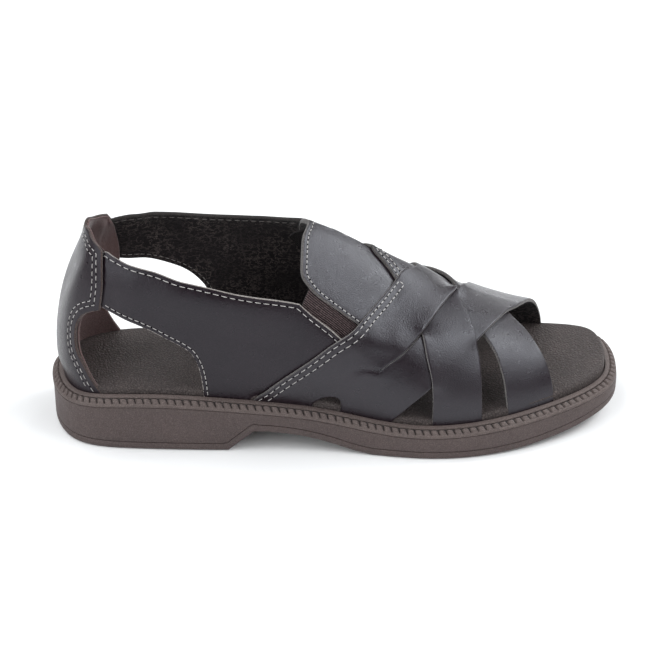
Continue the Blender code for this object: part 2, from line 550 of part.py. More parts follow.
def leather(name, polys, cuts, outer, inner, material):
    """Piece of leather over the last between two depths, each a number or a function of side flag, share and rise."""
    v, f = triangulate(polys, cuts, sheet_grid(), fold_lines())
    p, n, lateral, share, rise = surface(v)
    depth = lambda d: (d(lateral, share, rise) if callable(d) else np.full(len(v), float(d)))[:, None]
    verts, faces = close_sheet(p + n * depth(outer), p + n * depth(inner), f)
    return make_object(name, verts, faces, material)


def slab(name, stations, insets, lowers, uppers, material, guides=()):
    """Body inside the sole outline: a wall through rings, closed by fine caps.

    insets, lowers and uppers: rings from the bottom edge to the top edge, each
    an inset (number or function of x) and a height (function of x). guides are
    x positions that the lower cap must follow exactly."""
    rings = []
    for inset, height in zip(insets, lowers + uppers):
        xy = outline(stations, inset(outline(stations)[:, 0]) if callable(inset) else inset)
        rings.append(np.concatenate([xy, height(xy[:, 0])[:, None]], 1))
    n = len(stations)
    verts = [np.concatenate(rings)]
    faces = []
    for r in range(len(rings) - 1):
        for i in range(n):
            j = (i + 1) % n
            faces.append((r * n + i, r * n + j, (r + 1) * n + j, (r + 1) * n + i))
    base = len(rings) * n
    for which, (edge, height) in enumerate(((0, lowers[0]), (len(rings) - 1, uppers[-1]))):
        poly = rings[edge][:, :2]
        gx, gy = np.meshgrid(np.arange(8, LENGTH, 12.0), np.arange(-48, 50, 16.0))
        pts = np.stack([gx.ravel(), gy.ravel()], 1)
        if which == 0 and len(guides):
            pts = pts[np.min(np.abs(pts[:, 0][:, None] - np.array(guides)), axis=1) > 4]
            pts = np.concatenate([pts, [(g, y) for g in guides for y in np.arange(-48, 50, 8.0)]])
        pts = pts[inside(poly, pts)]
        pts = pts[edge_distance(pts, [poly]) > 3.0]
        v2 = [Vector(p) for p in poly] + [Vector(p) for p in pts]
        out = delaunay_2d_cdt(v2, [(i, (i + 1) % n) for i in range(n)], [], 1, 1e-4)
        lookup = []
        for k, origins in enumerate(out[3]):
            o = min(origins)
            if o < n:
                lookup.append(edge * n + o)
            else:
                lookup.append(base)
                x = out[0][k][0]
                verts.append(np.array([[x, out[0][k][1], float(height(np.array(x)))]]))
                base += 1
        for t in out[2]:
            t = [lookup[i] for i in t]
            faces.append(tuple(t if which else t[::-1]))
    return make_object(name, np.concatenate(verts), faces, material)


# ---- materials --------------------------------------------------------------
sole_brown = make_material("sole_brown", (0.115, 0.09, 0.083), 0.6)
leather_brown = make_material("leather_brown", (0.024, 0.019, 0.019), 0.38)
footbed_brown = make_material("footbed_brown", (0.055, 0.04, 0.034), 0.75)
elastic_brown = make_material("elastic_brown", (0.035, 0.022, 0.02), 0.85)

# ---- the sole ---------------------------------------------------------------
SOLE_TOP = WELT_DEPTH + GAP      # top of the outsole, below the lip
HEEL_BREAST = (89.5, 102.5)


def with_breast(count):
    """Stations round the outline, with one at each line of the heel breast."""
    s = np.linspace(0, PERIMETER, count, endpoint=False)
    for x in HEEL_BREAST + (162.0, 205.0):
        for lo, hi in ((0, TOE_S), (TOE_S, PERIMETER)):
            span = np.linspace(lo, hi, 4001)[1:-1]
            hit = span[np.argmin(np.abs(outline(span, 0.4)[:, 0] - x))]
            s[np.argmin(np.abs(s - hit))] = hit
    return np.sort(s)


STATIONS = with_breast(132)


def wall_inset(x):
    """Inset of the sole's wall from the lip, changing from lean to flare along the waist."""
    return HEEL_LEAN - (HEEL_LEAN + TOE_FLARE) * smooth_step(110, 190, x)


slab("outsole", STATIONS, [lambda x: wall_inset(x) + 0.7, wall_inset, 0.0],
     [lambda x: underside(x), lambda x: underside(x) + 1.2],
     [lambda x: lip_height(x) - SOLE_TOP], sole_brown,
     guides=HEEL_BREAST + (110.0, 118.0, 126.0, 136.0, 146.0, 154.0, 162.0, 205.0))

# Welt: (inset from the lip, share of the rise to the inner edge, depth below that)
WELT_PROFILE = [(0.3, 0.0, WELT_DEPTH), (0.0, 0.0, 0.9), (0.3, 0.02, 0.0), (1.4, 0.2, 0.0),
                (3.9, 0.86, 0.0), (WELT_WIDTH, 1.0, 0.0), (WELT_WIDTH, 0.0, WELT_DEPTH)]


def welt():
    s = np.linspace(0, PERIMETER, 120, endpoint=False)
    verts, faces, n, k = [], [], len(s), len(WELT_PROFILE)
    for inset, part, depth in WELT_PROFILE:
        xy = outline(s, inset)
        z = lip_height(xy[:, 0]) + welt_rise(xy[:, 0]) * part - depth
        verts.append(np.concatenate([xy, z[:, None]], 1))
    for r in range(k):
        q = (r + 1) % k
        for i in range(n):
            j = (i + 1) % n
            faces.append((r * n + i, r * n + j, q * n + j, q * n + i))
    return make_object("welt", np.concatenate(verts), faces, sole_brown)


welt()


def insole_inset(extra):
    """Footbed inset: clear of the counter and wall at the heel, of the straps, and out to the welt at the toe."""
    return lambda x: (FEATHER_INSET + LEATHER + 0.7 + extra + (COUNTER + CURVED_GAP) * (1 - smooth_step(42, 66, x))
                      - (LEATHER + 0.6) * smooth_step(263, 273, x))


def footbed_height(below):
    return lambda x: lip_height(x) + welt_rise(x) + INSOLE_RISE - below


slab("insole", np.linspace(0, PERIMETER, 100, endpoint=False),
     [insole_inset(0), insole_inset(0), insole_inset(0.5 * INSOLE_ROUND), insole_inset(1.6 * INSOLE_ROUND)],
     [lambda x: lip_height(x) - WELT_DEPTH],
     [footbed_height(INSOLE_ROUND), footbed_height(0.45 * INSOLE_ROUND), footbed_height(0)], footbed_brown)

# ---- the upper --------------------------------------------------------------
heel_wall = ring(smooth_edge(TOP_RIM), smooth_edge(COUNTER_FRONT_LATERAL), smooth_edge(COUNTER_CUT_LATERAL),
                 foot_edge(L, 0.132, 0.0), foot_edge(M, 0.0, 0.174),
                 smooth_edge(COUNTER_CUT_MEDIAL), smooth_edge(COUNTER_FRONT_MEDIAL))
quarter_lateral = ring(smooth_edge(QUARTER_TOP_LATERAL), smooth_edge(QUARTER_GORE_LATERAL),
                       smooth_edge([(L, 0.482, 0.396), (L, 0.500, 0.360), (L, 0.470, 0.150), (L, 0.430, 0.0)]),
                       foot_edge(L, 0.430, 0.284), smooth_edge(QUARTER_CUT_LATERAL),
                       smooth_edge([(L, 0.108, 0.405), (L, 0.092, 0.620)]))
quarter_medial = ring(smooth_edge(QUARTER_TOP_MEDIAL), smooth_edge(QUARTER_GORE_MEDIAL),
                      smooth_edge([(M, 0.490, 0.430), (M, 0.505, 0.380), (M, 0.470, 0.150), (M, 0.430, 0.0)]),
                      foot_edge(M, 0.430, 0.311), smooth_edge(QUARTER_CUT_MEDIAL),
                      smooth_edge([(M, 0.140, 0.390), (M, 0.105, 0.605)]))


def finger_a(side, far, rear, front):
    """Wing and rear finger, from its own feather line over the instep to the far one."""
    return ring(smooth_edge(rear), foot_edge(far, 0.615, 0.693), smooth_edge(front)[::-1],
                smooth_edge([(side, 0.536, 0.306), (side, 0.556, 0.150), (side, 0.560, 0.0)]),
                foot_edge(side, 0.560, 0.357))


def finger_c(side, far, rear, front, end):
    return ring(smooth_edge(rear), foot_edge(far, 0.734, end), smooth_edge(front)[::-1],
                foot_edge(side, 0.554, 0.520), smooth_edge([(side, 0.520, 0.0), (side, 0.525, 0.150), (side, 0.536, 0.306)]))


wings = [finger_a(L, M, A_LATERAL_REAR, A_LATERAL_FRONT), finger_c(L, M, C_LATERAL_REAR, C_LATERAL_FRONT, 0.840),
         finger_a(M, L, A_MEDIAL_REAR, A_MEDIAL_FRONT), finger_c(M, L, C_MEDIAL_REAR, C_MEDIAL_FRONT, 0.812)]
arches = [to_sheet([(side, share, rise) for share, rise in ARCH_CUT]) for side in (L, M)]


def heel_depth(lateral, share, rise):
    """How far the wall steps in to make room for the counter."""
    lat = 1 - smooth_step(0.145, 0.185, share)
    med = 1 - smooth_step(0.180, 0.220, share)
    return (COUNTER + CURVED_GAP + 0.25 * smooth_step(0.56, 0.64, rise)) * np.where(lateral, lat, med)


leather("upper", [heel_wall, quarter_lateral, quarter_medial] + wings, arches,
        lambda a, s, r: -heel_depth(a, s, r), lambda a, s, r: -heel_depth(a, s, r) - LEATHER, leather_brown)
leather("heel_counter", [heel_wall], [], 0.0, -COUNTER, leather_brown)
panel = ring(smooth_edge(PANEL_REAR), smooth_edge(PANEL_GORE_LATERAL), smooth_edge(PANEL_FRONT),
             smooth_edge(PANEL_GORE_MEDIAL))
leather("instep_panel", [panel], [], -(LEATHER + CURVED_GAP), -(LEATHER + CURVED_GAP + PANEL), leather_brown)
GORE_DEPTH = LEATHER + PANEL + 2 * CURVED_GAP
for side, name in ((L, "gore_lateral"), (M, "gore_medial")):
    gore = ring(*[smooth_edge(e) for e in GORE_OUTLINES[side]])
    leather(name, [gore], [], -GORE_DEPTH, -(GORE_DEPTH + ELASTIC), elastic_brown)
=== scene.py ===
"""Looks for the woven-strap leather sandal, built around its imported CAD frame.

Lengths in the tables and in the mesh code are millimetres on the last; row()
turns them into the frame's metres. The pattern tables are those of the part.
"""
import bpy
import json
import math
import numpy as np
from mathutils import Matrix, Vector
from mathutils.geometry import delaunay_2d_cdt
from mathutils.kdtree import KDTree

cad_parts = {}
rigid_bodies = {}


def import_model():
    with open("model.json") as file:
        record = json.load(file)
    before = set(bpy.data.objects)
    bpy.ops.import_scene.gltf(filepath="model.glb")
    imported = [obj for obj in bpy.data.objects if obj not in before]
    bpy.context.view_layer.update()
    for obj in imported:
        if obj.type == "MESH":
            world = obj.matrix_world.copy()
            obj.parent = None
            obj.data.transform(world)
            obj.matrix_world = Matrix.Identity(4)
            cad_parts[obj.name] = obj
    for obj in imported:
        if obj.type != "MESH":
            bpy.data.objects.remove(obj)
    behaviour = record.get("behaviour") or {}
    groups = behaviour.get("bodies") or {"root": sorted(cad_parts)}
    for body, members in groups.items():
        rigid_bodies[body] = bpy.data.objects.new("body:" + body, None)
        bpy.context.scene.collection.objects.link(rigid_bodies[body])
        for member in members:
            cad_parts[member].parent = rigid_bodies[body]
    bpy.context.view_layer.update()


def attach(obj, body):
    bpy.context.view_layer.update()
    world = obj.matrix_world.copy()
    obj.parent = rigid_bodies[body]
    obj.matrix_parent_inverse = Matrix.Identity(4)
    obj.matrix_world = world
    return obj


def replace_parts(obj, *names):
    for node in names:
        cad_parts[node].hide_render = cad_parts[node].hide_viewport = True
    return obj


for old in list(bpy.data.objects):
    bpy.data.objects.remove(old, do_unlink=True)
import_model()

# ---- main sizes -------------------------------------------------------------
MM = 0.001
LENGTH = 292.0            # outsole, heel to toe
WELT_WIDTH = 5.8          # from the sole's lip to the welt's inner edge
WELT_DEPTH = 1.6          # how far the welt reaches below the lip
LEATHER = 2.0             # wall of the upper
COUNTER = 1.4             # stiff leather of the heel counter
PANEL = 1.8               # leather of the instep panel
ELASTIC = 1.2             # gore
GAP = 0.3                 # clearance between neighbouring pieces
CURVED_GAP = 0.45         # the same between two bent sheets, measured at their corners
INSOLE_RISE = 3.4         # footbed above the welt's inner edge
INSOLE_ROUND = 1.8        # rounding of the footbed's top edge
TOE_SPRING = 9.2          # lift of the sole at the toe tip
HEEL_LEAN = 0.43          # how far the sole's wall leans in below the lip at the heel
TOE_FLARE = 0.32          # how far it flares out below the lip at the forefoot
SPRING_START = 205.0      # where the sole starts to lift
SIDE_STEP = 4.0           # sampling of the edges
FACE_STEP = 7.0           # sampling of the leather faces

# Lip of the outsole seen from above, once round from the heel back.
# Columns: name, x (heel to toe), y (inner side of the foot is +)
OUTLINE = [
    ("heel_back",      0.0,    0.0), ("heel_lat_a",     6.0,  -20.0), ("heel_lat_b",    20.8,  -33.1),
    ("heel_lat_c",    49.1,  -38.0), ("waist_lat_a",   84.3,  -40.7), ("waist_lat_b",  119.5,  -42.4),
    ("waist_lat_c",  149.6,  -45.7), ("ball_lat_a",   179.4,  -51.4), ("ball_lat_b",   204.2,  -52.7),
    ("toe_lat_a",    228.9,  -48.7), ("toe_lat_b",    253.6,  -39.5), ("toe_lat_c",    274.2,  -27.6),
    ("toe_lat_d",    287.6,  -13.0), ("toe_tip",      292.0,    5.0), ("toe_med_d",    291.2,   22.8),
    ("toe_med_c",    282.9,   37.1), ("toe_med_b",    262.7,   44.8), ("ball_med_b",   236.5,   49.7),
    ("ball_med_a",   205.6,   52.0), ("waist_med_c",  175.1,   48.6), ("waist_med_b",  144.9,   40.3),
    ("waist_med_a",  114.8,   36.8), ("heel_med_d",    84.6,   35.4), ("heel_med_c",    49.2,   35.6),
    ("heel_med_b",    20.8,   33.5), ("heel_med_a",     2.9,   20.8),
]

# Columns: x, height of the lip, rise of the welt to its inner edge
LIP = [
    (0.0, 22.8, 3.06), (50.0, 26.4, 3.06), (100.0, 23.7, 3.06), (135.0, 19.5, 3.0), (165.0, 14.5, 2.9),
    (200.0, 13.4, 2.85), (230.0, 15.2, 2.85), (260.0, 17.3, 2.85), (292.0, 18.8, 2.85),
]

# Underside between heel and forefoot. Columns: x, height above the floor
UNDERSIDE = [
    (0.0, 0.0), (89.5, 0.0), (102.5, 11.0), (110.0, 10.9), (118.0, 10.0), (126.0, 8.8),
    (136.0, 6.6), (146.0, 3.6), (154.0, 1.3), (162.0, 0.0), (292.0, 0.0),
]

# Half sections of the last, climbing from the feather line (where the wall
# meets the welt) to the crest of the instep, one table for each side.
# share: distance along that side from the heel back (0) to the toe (1).
# reach: how far a point stands out from the crest, 1 = above the feather line.
# Columns: share, crest x, y, z, wall reach, wall z, shoulder reach, shoulder z
SECTION_KNOTS = (0.0, 0.3, 0.65, 1.0)     # feather, wall, shoulder, crest
LATERAL_SECTIONS = [
    (0.00,  45.0, 0.0, 175.0, 1.005, 55.0, 0.679, 100.0),
    (0.08,  60.0, 0.0, 138.0, 0.970, 67.0, 0.740, 104.0),
    (0.16,  82.0, 1.0, 124.0, 0.985, 68.0, 0.855, 101.0),
    (0.21,  90.0, 1.5, 121.0, 1.000, 68.0, 0.895,  99.0),
    (0.26, 100.0, 2.0, 119.0, 1.025, 66.0, 0.950,  94.5),
    (0.32, 113.0, 3.0, 114.5, 1.050, 62.0, 0.960,  91.5),
    (0.38, 128.0, 4.0, 110.3, 1.060, 58.0, 0.920,  89.5),
    (0.46, 155.0, 6.0,  97.6, 1.010, 55.0, 0.780,  80.5),
    (0.55, 182.0, 7.0,  81.0, 0.975, 44.0, 0.710,  66.0),
    (0.66, 214.0, 7.5,  62.5, 0.940, 37.5, 0.650,  55.5),
    (0.77, 244.0, 7.5,  51.5, 0.900, 34.5, 0.600,  46.5),
    (1.00, 284.0, 7.0,  40.0, 0.900, 30.0, 0.600,  38.0),
]
MEDIAL_SECTIONS = [
    (0.00,  45.0, 0.0, 175.0, 1.005, 55.0, 0.679, 100.0),
    (0.08,  60.0, 0.0, 140.0, 0.950, 67.0, 0.720, 104.0),
    (0.16,  82.0, 1.0, 124.0, 0.985, 68.0, 0.860, 102.0),
    (0.21,  90.0, 1.5, 121.0, 1.000, 68.0, 0.910, 100.5),
    (0.26, 100.0, 2.0, 119.0, 1.035, 66.0, 0.985,  99.5),
    (0.32, 113.0, 3.0, 114.5, 1.065, 63.0, 1.000,  98.0),
    (0.38, 128.0, 4.0, 110.3, 1.075, 59.0, 0.960,  96.5),
    (0.46, 155.0, 6.0,  97.6, 1.020, 55.0, 0.790,  86.0),
    (0.55, 182.0, 7.0,  81.0, 0.975, 44.0, 0.720,  66.5),
    (0.66, 214.0, 7.5,  62.5, 0.940, 37.0, 0.655,  54.8),
    (0.77, 244.0, 7.5,  51.5, 0.900, 34.0, 0.600,  45.5),
    (1.00, 284.0, 7.0,  40.0, 0.900, 30.0, 0.600,  38.0),
]

# Edges of the leather on the last. Columns: side, share, rise (0 feather line, 1 crest)
L, M = "lateral", "medial"
TOP_RIM = [(M, 0.116, 0.664), (M, 0.088, 0.674), (M, 0.050, 0.689), (L, 0.000, 0.693),
           (L, 0.048, 0.684), (L, 0.090, 0.665), (L, 0.104, 0.656)]
COUNTER_FRONT_LATERAL = [(L, 0.104, 0.656), (L, 0.119, 0.606), (L, 0.131, 0.533), (L, 0.134, 0.447), (L, 0.131, 0.365)]
COUNTER_CUT_LATERAL = [(L, 0.131, 0.365), (L, 0.109, 0.346), (L, 0.091, 0.312), (L, 0.084, 0.272),
                       (L, 0.083, 0.208), (L, 0.088, 0.159), (L, 0.098, 0.121), (L, 0.110, 0.074),
                       (L, 0.120, 0.036), (L, 0.132, 0.0)]
COUNTER_CUT_MEDIAL = [(M, 0.174, 0.0), (M, 0.165, 0.036), (M, 0.156, 0.074), (M, 0.146, 0.121),
                      (M, 0.136, 0.159), (M, 0.130, 0.208), (M, 0.130, 0.272), (M, 0.137, 0.312),
                      (M, 0.152, 0.346), (M, 0.171, 0.365)]
COUNTER_FRONT_MEDIAL = [(M, 0.171, 0.365), (M, 0.171, 0.440), (M, 0.164, 0.527), (M, 0.148, 0.602), (M, 0.116, 0.664)]

QUARTER_TOP_LATERAL = [(L, 0.092, 0.620), (L, 0.100, 0.652), (L, 0.108, 0.662), (L, 0.126, 0.659), (L, 0.150, 0.652),
                       (L, 0.198, 0.634), (L, 0.250, 0.631), (L, 0.305, 0.620), (L, 0.372, 0.586),
                       (L, 0.403, 0.580), (L, 0.421, 0.576)]
QUARTER_GORE_LATERAL = [(L, 0.421, 0.576), (L, 0.438, 0.520), (L, 0.467, 0.440), (L, 0.482, 0.396)]
QUARTER_CUT_LATERAL = [(L, 0.284, 0.0), (L, 0.2835, 0.056), (L, 0.2817, 0.108), (L, 0.2775, 0.154), (L, 0.270, 0.194),
                       (L, 0.257, 0.221), (L, 0.239, 0.243), (L, 0.2035, 0.291), (L, 0.1654, 0.335),
                       (L, 0.132, 0.376), (L, 0.108, 0.405)]
QUARTER_TOP_MEDIAL = [(M, 0.105, 0.605), (M, 0.125, 0.632), (M, 0.144, 0.648), (M, 0.161, 0.662), (M, 0.178, 0.674),
                      (M, 0.204, 0.676), (M, 0.233, 0.668), (M, 0.269, 0.661), (M, 0.300, 0.657), (M, 0.343, 0.656),
                      (M, 0.384, 0.664), (M, 0.402, 0.690), (M, 0.416, 0.740), (M, 0.424, 0.800)]
QUARTER_GORE_MEDIAL = [(M, 0.424, 0.800), (M, 0.432, 0.700), (M, 0.445, 0.600), (M, 0.467, 0.500), (M, 0.490, 0.430)]
QUARTER_CUT_MEDIAL = [(M, 0.311, 0.0), (M, 0.3125, 0.080), (M, 0.3134, 0.177), (M, 0.3091, 0.228), (M, 0.2985, 0.270),
                      (M, 0.2819, 0.310), (M, 0.262, 0.334), (M, 0.2381, 0.350), (M, 0.2132, 0.361),
                      (M, 0.1855, 0.368), (M, 0.163, 0.376), (M, 0.140, 0.390)]

# The two wings, each cut into two fingers, A behind and C in front.
A_LATERAL_REAR = [(L, 0.357, 0.0), (L, 0.3761, 0.060), (L, 0.3926, 0.113), (L, 0.4232, 0.200), (L, 0.4519, 0.290),
                  (L, 0.4764, 0.392), (L, 0.493, 0.479), (L, 0.509, 0.624), (L, 0.530, 0.783), (L, 0.5405, 0.862),
                  (L, 0.5506, 0.937), (L, 0.5648, 0.984), (M, 0.574, 0.930), (M, 0.583, 0.800), (M, 0.592, 0.640),
                  (M, 0.603, 0.451), (M, 0.611, 0.300), (M, 0.615, 0.145), (M, 0.615, 0.0)]
A_LATERAL_FRONT = [(L, 0.536, 0.306), (L, 0.565, 0.448), (L, 0.593, 0.641), (L, 0.615, 0.800), (L, 0.629, 0.897),
                   (L, 0.637, 0.957), (M, 0.646, 0.940), (M, 0.657, 0.830), (M, 0.670, 0.705), (M, 0.680, 0.599),
                   (M, 0.687, 0.451), (M, 0.690, 0.295), (M, 0.693, 0.0)]
C_LATERAL_REAR = [(L, 0.536, 0.306), (L, 0.565, 0.448), (L, 0.593, 0.641), (L, 0.615, 0.800), (L, 0.629, 0.897),
                  (L, 0.637, 0.957), (M, 0.655, 0.960), (M, 0.676, 0.850), (M, 0.694, 0.720), (M, 0.710, 0.580),
                  (M, 0.720, 0.426), (M, 0.729, 0.187), (M, 0.734, 0.0)]
C_LATERAL_FRONT = [(L, 0.554, 0.0), (L, 0.569, 0.065), (L, 0.585, 0.134), (L, 0.611, 0.253), (L, 0.645, 0.440),
                   (L, 0.680, 0.645), (L, 0.700, 0.755), (L, 0.716, 0.841), (L, 0.734, 0.925), (L, 0.752, 0.990),
                   (M, 0.775, 0.910), (M, 0.800, 0.760), (M, 0.820, 0.570), (M, 0.834, 0.300), (M, 0.839, 0.100), (M, 0.840, 0.0)]
A_MEDIAL_REAR = [(M, 0.357, 0.0), (M, 0.384, 0.061), (M, 0.413, 0.156), (M, 0.442, 0.245), (M, 0.468, 0.345),
                 (M, 0.484, 0.440), (M, 0.495, 0.540), (M, 0.502, 0.650), (M, 0.504, 0.770), (M, 0.499, 0.880),
                 (M, 0.494, 0.970), (L, 0.500, 0.967), (L, 0.515, 0.939), (L, 0.530, 0.905), (L, 0.542, 0.876),
                 (L, 0.565, 0.800), (L, 0.581, 0.715), (L, 0.591, 0.627), (L, 0.603, 0.451), (L, 0.611, 0.330),
                 (L, 0.615, 0.200), (L, 0.615, 0.0)]
A_MEDIAL_FRONT = [(M, 0.536, 0.306), (M, 0.565, 0.448), (M, 0.590, 0.620), (M, 0.608, 0.780), (M, 0.622, 0.930),
                  (L, 0.634, 0.955), (L, 0.646, 0.869), (L, 0.658, 0.799), (L, 0.670, 0.705), (L, 0.680, 0.599),
                  (L, 0.687, 0.451), (L, 0.690, 0.295), (L, 0.693, 0.0)]
C_MEDIAL_REAR = [(M, 0.536, 0.306), (M, 0.565, 0.448), (M, 0.590, 0.620), (M, 0.608, 0.780), (M, 0.622, 0.930),
                 (L, 0.638, 0.957), (L, 0.660, 0.860), (L, 0.676, 0.770), (L, 0.692, 0.682), (L, 0.702, 0.618),
                 (L, 0.712, 0.529), (L, 0.719, 0.426), (L, 0.725, 0.318), (L, 0.729, 0.187), (L, 0.734, 0.0)]
C_MEDIAL_FRONT = [(M, 0.554, 0.0), (M, 0.569, 0.065), (M, 0.585, 0.134), (M, 0.611, 0.253), (M, 0.650, 0.470),
                  (M, 0.685, 0.690), (M, 0.706, 0.860), (L, 0.722, 0.975), (L, 0.7398, 0.888), (L, 0.7612, 0.802),
                  (L, 0.784, 0.641), (L, 0.7983, 0.465), (L, 0.8055, 0.315), (L, 0.8108, 0.120),
                  (L, 0.812, 0.0)]
# Small arched cut at the welt, on both sides. Columns: share, rise
ARCH_CUT = [(0.441, -0.06), (0.4415, 0.014), (0.450, 0.039), (0.460, 0.057), (0.469, 0.064), (0.476, 0.063),
            (0.480, 0.050), (0.4805, 0.025), (0.4765, -0.06)]
# Panel over the instep, tucked under the wings, and the elastic beside it
PANEL_REAR = [(M, 0.434, 0.700), (M, 0.425, 0.770), (M, 0.413, 0.860), (M, 0.402, 0.950), (L, 0.398, 0.985),
              (L, 0.401, 0.916), (L, 0.407, 0.844), (L, 0.413, 0.777), (L, 0.4175, 0.733), (L, 0.421, 0.714),
              (L, 0.426, 0.697)]
PANEL_GORE_LATERAL = [(L, 0.426, 0.697), (L, 0.436, 0.666), (L, 0.463, 0.607), (L, 0.491, 0.565), (L, 0.512, 0.540)]
PANEL_FRONT = [(L, 0.512, 0.540), (L, 0.532, 0.660), (L, 0.556, 0.840), (L, 0.575, 0.960), (M, 0.560, 0.900),
               (M, 0.535, 0.740), (M, 0.512, 0.590)]
PANEL_GORE_MEDIAL = [(M, 0.512, 0.590), (M, 0.491, 0.605), (M, 0.463, 0.640), (M, 0.444, 0.680), (M, 0.434, 0.700)]
# The elastic of each gore: its upper edge lies under the panel, its lower edge under the quarter.
GORE_OUTLINES = {
    L: [[(L, 0.418, 0.640), (L, 0.440, 0.700), (L, 0.465, 0.650)],
        [(L, 0.465, 0.650), (L, 0.500, 0.600), (L, 0.515, 0.560)],
        [(L, 0.515, 0.560), (L, 0.505, 0.440), (L, 0.488, 0.350)],
        [(L, 0.488, 0.350), (L, 0.460, 0.400), (L, 0.418, 0.500)],
        [(L, 0.418, 0.500), (L, 0.410, 0.560), (L, 0.418, 0.640)]],
    M: [[(M, 0.428, 0.770), (M, 0.455, 0.760), (M, 0.480, 0.690)],
        [(M, 0.480, 0.690), (M, 0.502, 0.645), (M, 0.518, 0.600)],
        [(M, 0.518, 0.600), (M, 0.512, 0.480), (M, 0.497, 0.385)],
        [(M, 0.497, 0.385), (M, 0.474, 0.450), (M, 0.440, 0.560)],
        [(M, 0.440, 0.560), (M, 0.426, 0.660), (M, 0.428, 0.770)]],
}

# ---- curves -----------------------------------------------------------------


def spline(xs, ys, closed=False):
    """Cubic spline through the points, natural or periodic, as a function."""
    xs, ys = np.asarray(xs, float), np.asarray(ys, float)
    if closed:
        k, turn = 4, xs[-1] - xs[0]
        xs = np.concatenate([xs[-k - 1:-1] - turn, xs, xs[1:k + 1] + turn])
        ys = np.concatenate([ys[-k - 1:-1], ys, ys[1:k + 1]])
    n, h = len(xs), np.diff(xs)
    a, b = np.zeros((n, n)), np.zeros(n)
    a[0, 0] = a[-1, -1] = 1.0
    for i in range(1, n - 1):
        a[i, i - 1:i + 2] = h[i - 1], 2 * (h[i - 1] + h[i]), h[i]
        b[i] = 6 * ((ys[i + 1] - ys[i]) / h[i] - (ys[i] - ys[i - 1]) / h[i - 1])
    m = np.linalg.solve(a, b)

    def value(x):
        x = np.asarray(x, float)
        i = np.clip(np.searchsorted(xs, x) - 1, 0, n - 2)
        t = x - xs[i]
        c = (ys[i + 1] - ys[i]) / h[i] - h[i] * (2 * m[i] + m[i + 1]) / 6
        return ys[i] + t * (c + t * (m[i] / 2 + t * (m[i + 1] - m[i]) / (6 * h[i])))

    return value


def monotone(xs, ys):
    """Smooth curve through the points that never overshoots them."""
    xs, ys = np.asarray(xs, float), np.asarray(ys, float)
    h, d = np.diff(xs), np.diff(ys) / np.diff(xs)
    m = np.zeros(len(xs))
    m[0], m[-1] = d[0], d[-1]
    for i in range(1, len(xs) - 1):
        if d[i - 1] * d[i] > 0:
            w1, w2 = 2 * h[i] + h[i - 1], h[i] + 2 * h[i - 1]
            m[i] = (w1 + w2) / (w1 / d[i - 1] + w2 / d[i])

    def value(x):
        x = np.clip(np.asarray(x, float), xs[0], xs[-1])
        i = np.clip(np.searchsorted(xs, x) - 1, 0, len(h) - 1)
        t = (x - xs[i]) / h[i]
        return (ys[i] * (1 + 2 * t) * (1 - t) ** 2 + h[i] * m[i] * t * (1 - t) ** 2
                + ys[i + 1] * t * t * (3 - 2 * t) + h[i] * m[i + 1] * t * t * (t - 1))

    return value


def smooth_step(a, b, x):
    t = np.clip((np.asarray(x, float) - a) / (b - a), 0, 1)
    return t * t * (3 - 2 * t)


# ---- sole outline -----------------------------------------------------------
CORNERS = len(OUTLINE)
outline_x = spline(range(CORNERS + 1), [r[1] for r in OUTLINE] + [OUTLINE[0][1]], closed=True)
outline_y = spline(range(CORNERS + 1), [r[2] for r in OUTLINE] + [OUTLINE[0][2]], closed=True)
_t = np.linspace(0, CORNERS, 2601)
RIM = np.stack([outline_x(_t), outline_y(_t)], 1)
RIM_S = np.concatenate([[0], np.cumsum(np.linalg.norm(np.diff(RIM, axis=0), axis=1))])
_d = np.gradient(RIM, RIM_S, axis=0)
_d[0] = _d[-1] = (_d[1] + _d[-2]) / 2
_d /= np.linalg.norm(_d, axis=1)[:, None]
RIM_IN = np.stack([-_d[:, 1], _d[:, 0]], 1)
PERIMETER = float(RIM_S[-1])
TOE_S = float(RIM_S[np.argmax(RIM[:, 0])])
SIDE_LENGTH = {L: TOE_S, M: PERIMETER - TOE_S}
ORIGIN = np.array([(RIM[:, 0].min() + RIM[:, 0].max() + TOE_FLARE) / 2, (RIM[:, 1].min() + RIM[:, 1].max()) / 2, 0.0])

lip_height = spline([r[0] for r in LIP], [r[1] for r in LIP])
welt_rise = monotone([r[0] for r in LIP], [r[2] for r in LIP])


def outline(s, inset=0.0):
    """Points of the lip at arc length s from the heel back, lateral side first, moved inward by inset."""
    s = np.mod(np.asarray(s, float), PERIMETER)
    x, y = np.interp(s, RIM_S, RIM[:, 0]), np.interp(s, RIM_S, RIM[:, 1])
    nx, ny = np.interp(s, RIM_S, RIM_IN[:, 0]), np.interp(s, RIM_S, RIM_IN[:, 1])
    n = np.hypot(nx, ny)
    return np.stack([x + nx / n * inset, y + ny / n * inset], -1)


def underside(x):
    x = np.asarray(x, float)
    arch = np.interp(x, [r[0] for r in UNDERSIDE], [r[1] for r in UNDERSIDE])
    return arch + TOE_SPRING * (np.clip(x - SPRING_START, 0, None) / (LENGTH - SPRING_START)) ** 2


# ---- the last ---------------------------------------------------------------
FEATHER_INSET = WELT_WIDTH + GAP
TUCK = -0.03              # rise of the wall's lower end, below the feather line
TUCK_SCALE = 150.0        # millimetres for each unit of rise below the feather line
CHART = 100.0             # spread of the pattern sheet, millimetres from crest to feather
# The first row past the heel on the other side is carried round, so the back of the heel is smooth.
SECTIONS = {side: [monotone([-other[1][0]] + [r[0] for r in rows], [other[1][i]] + [r[i] for r in rows])
                   for i in range(1, 8)]
            for side, rows, other in ((L, LATERAL_SECTIONS, MEDIAL_SECTIONS), (M, MEDIAL_SECTIONS, LATERAL_SECTIONS))}


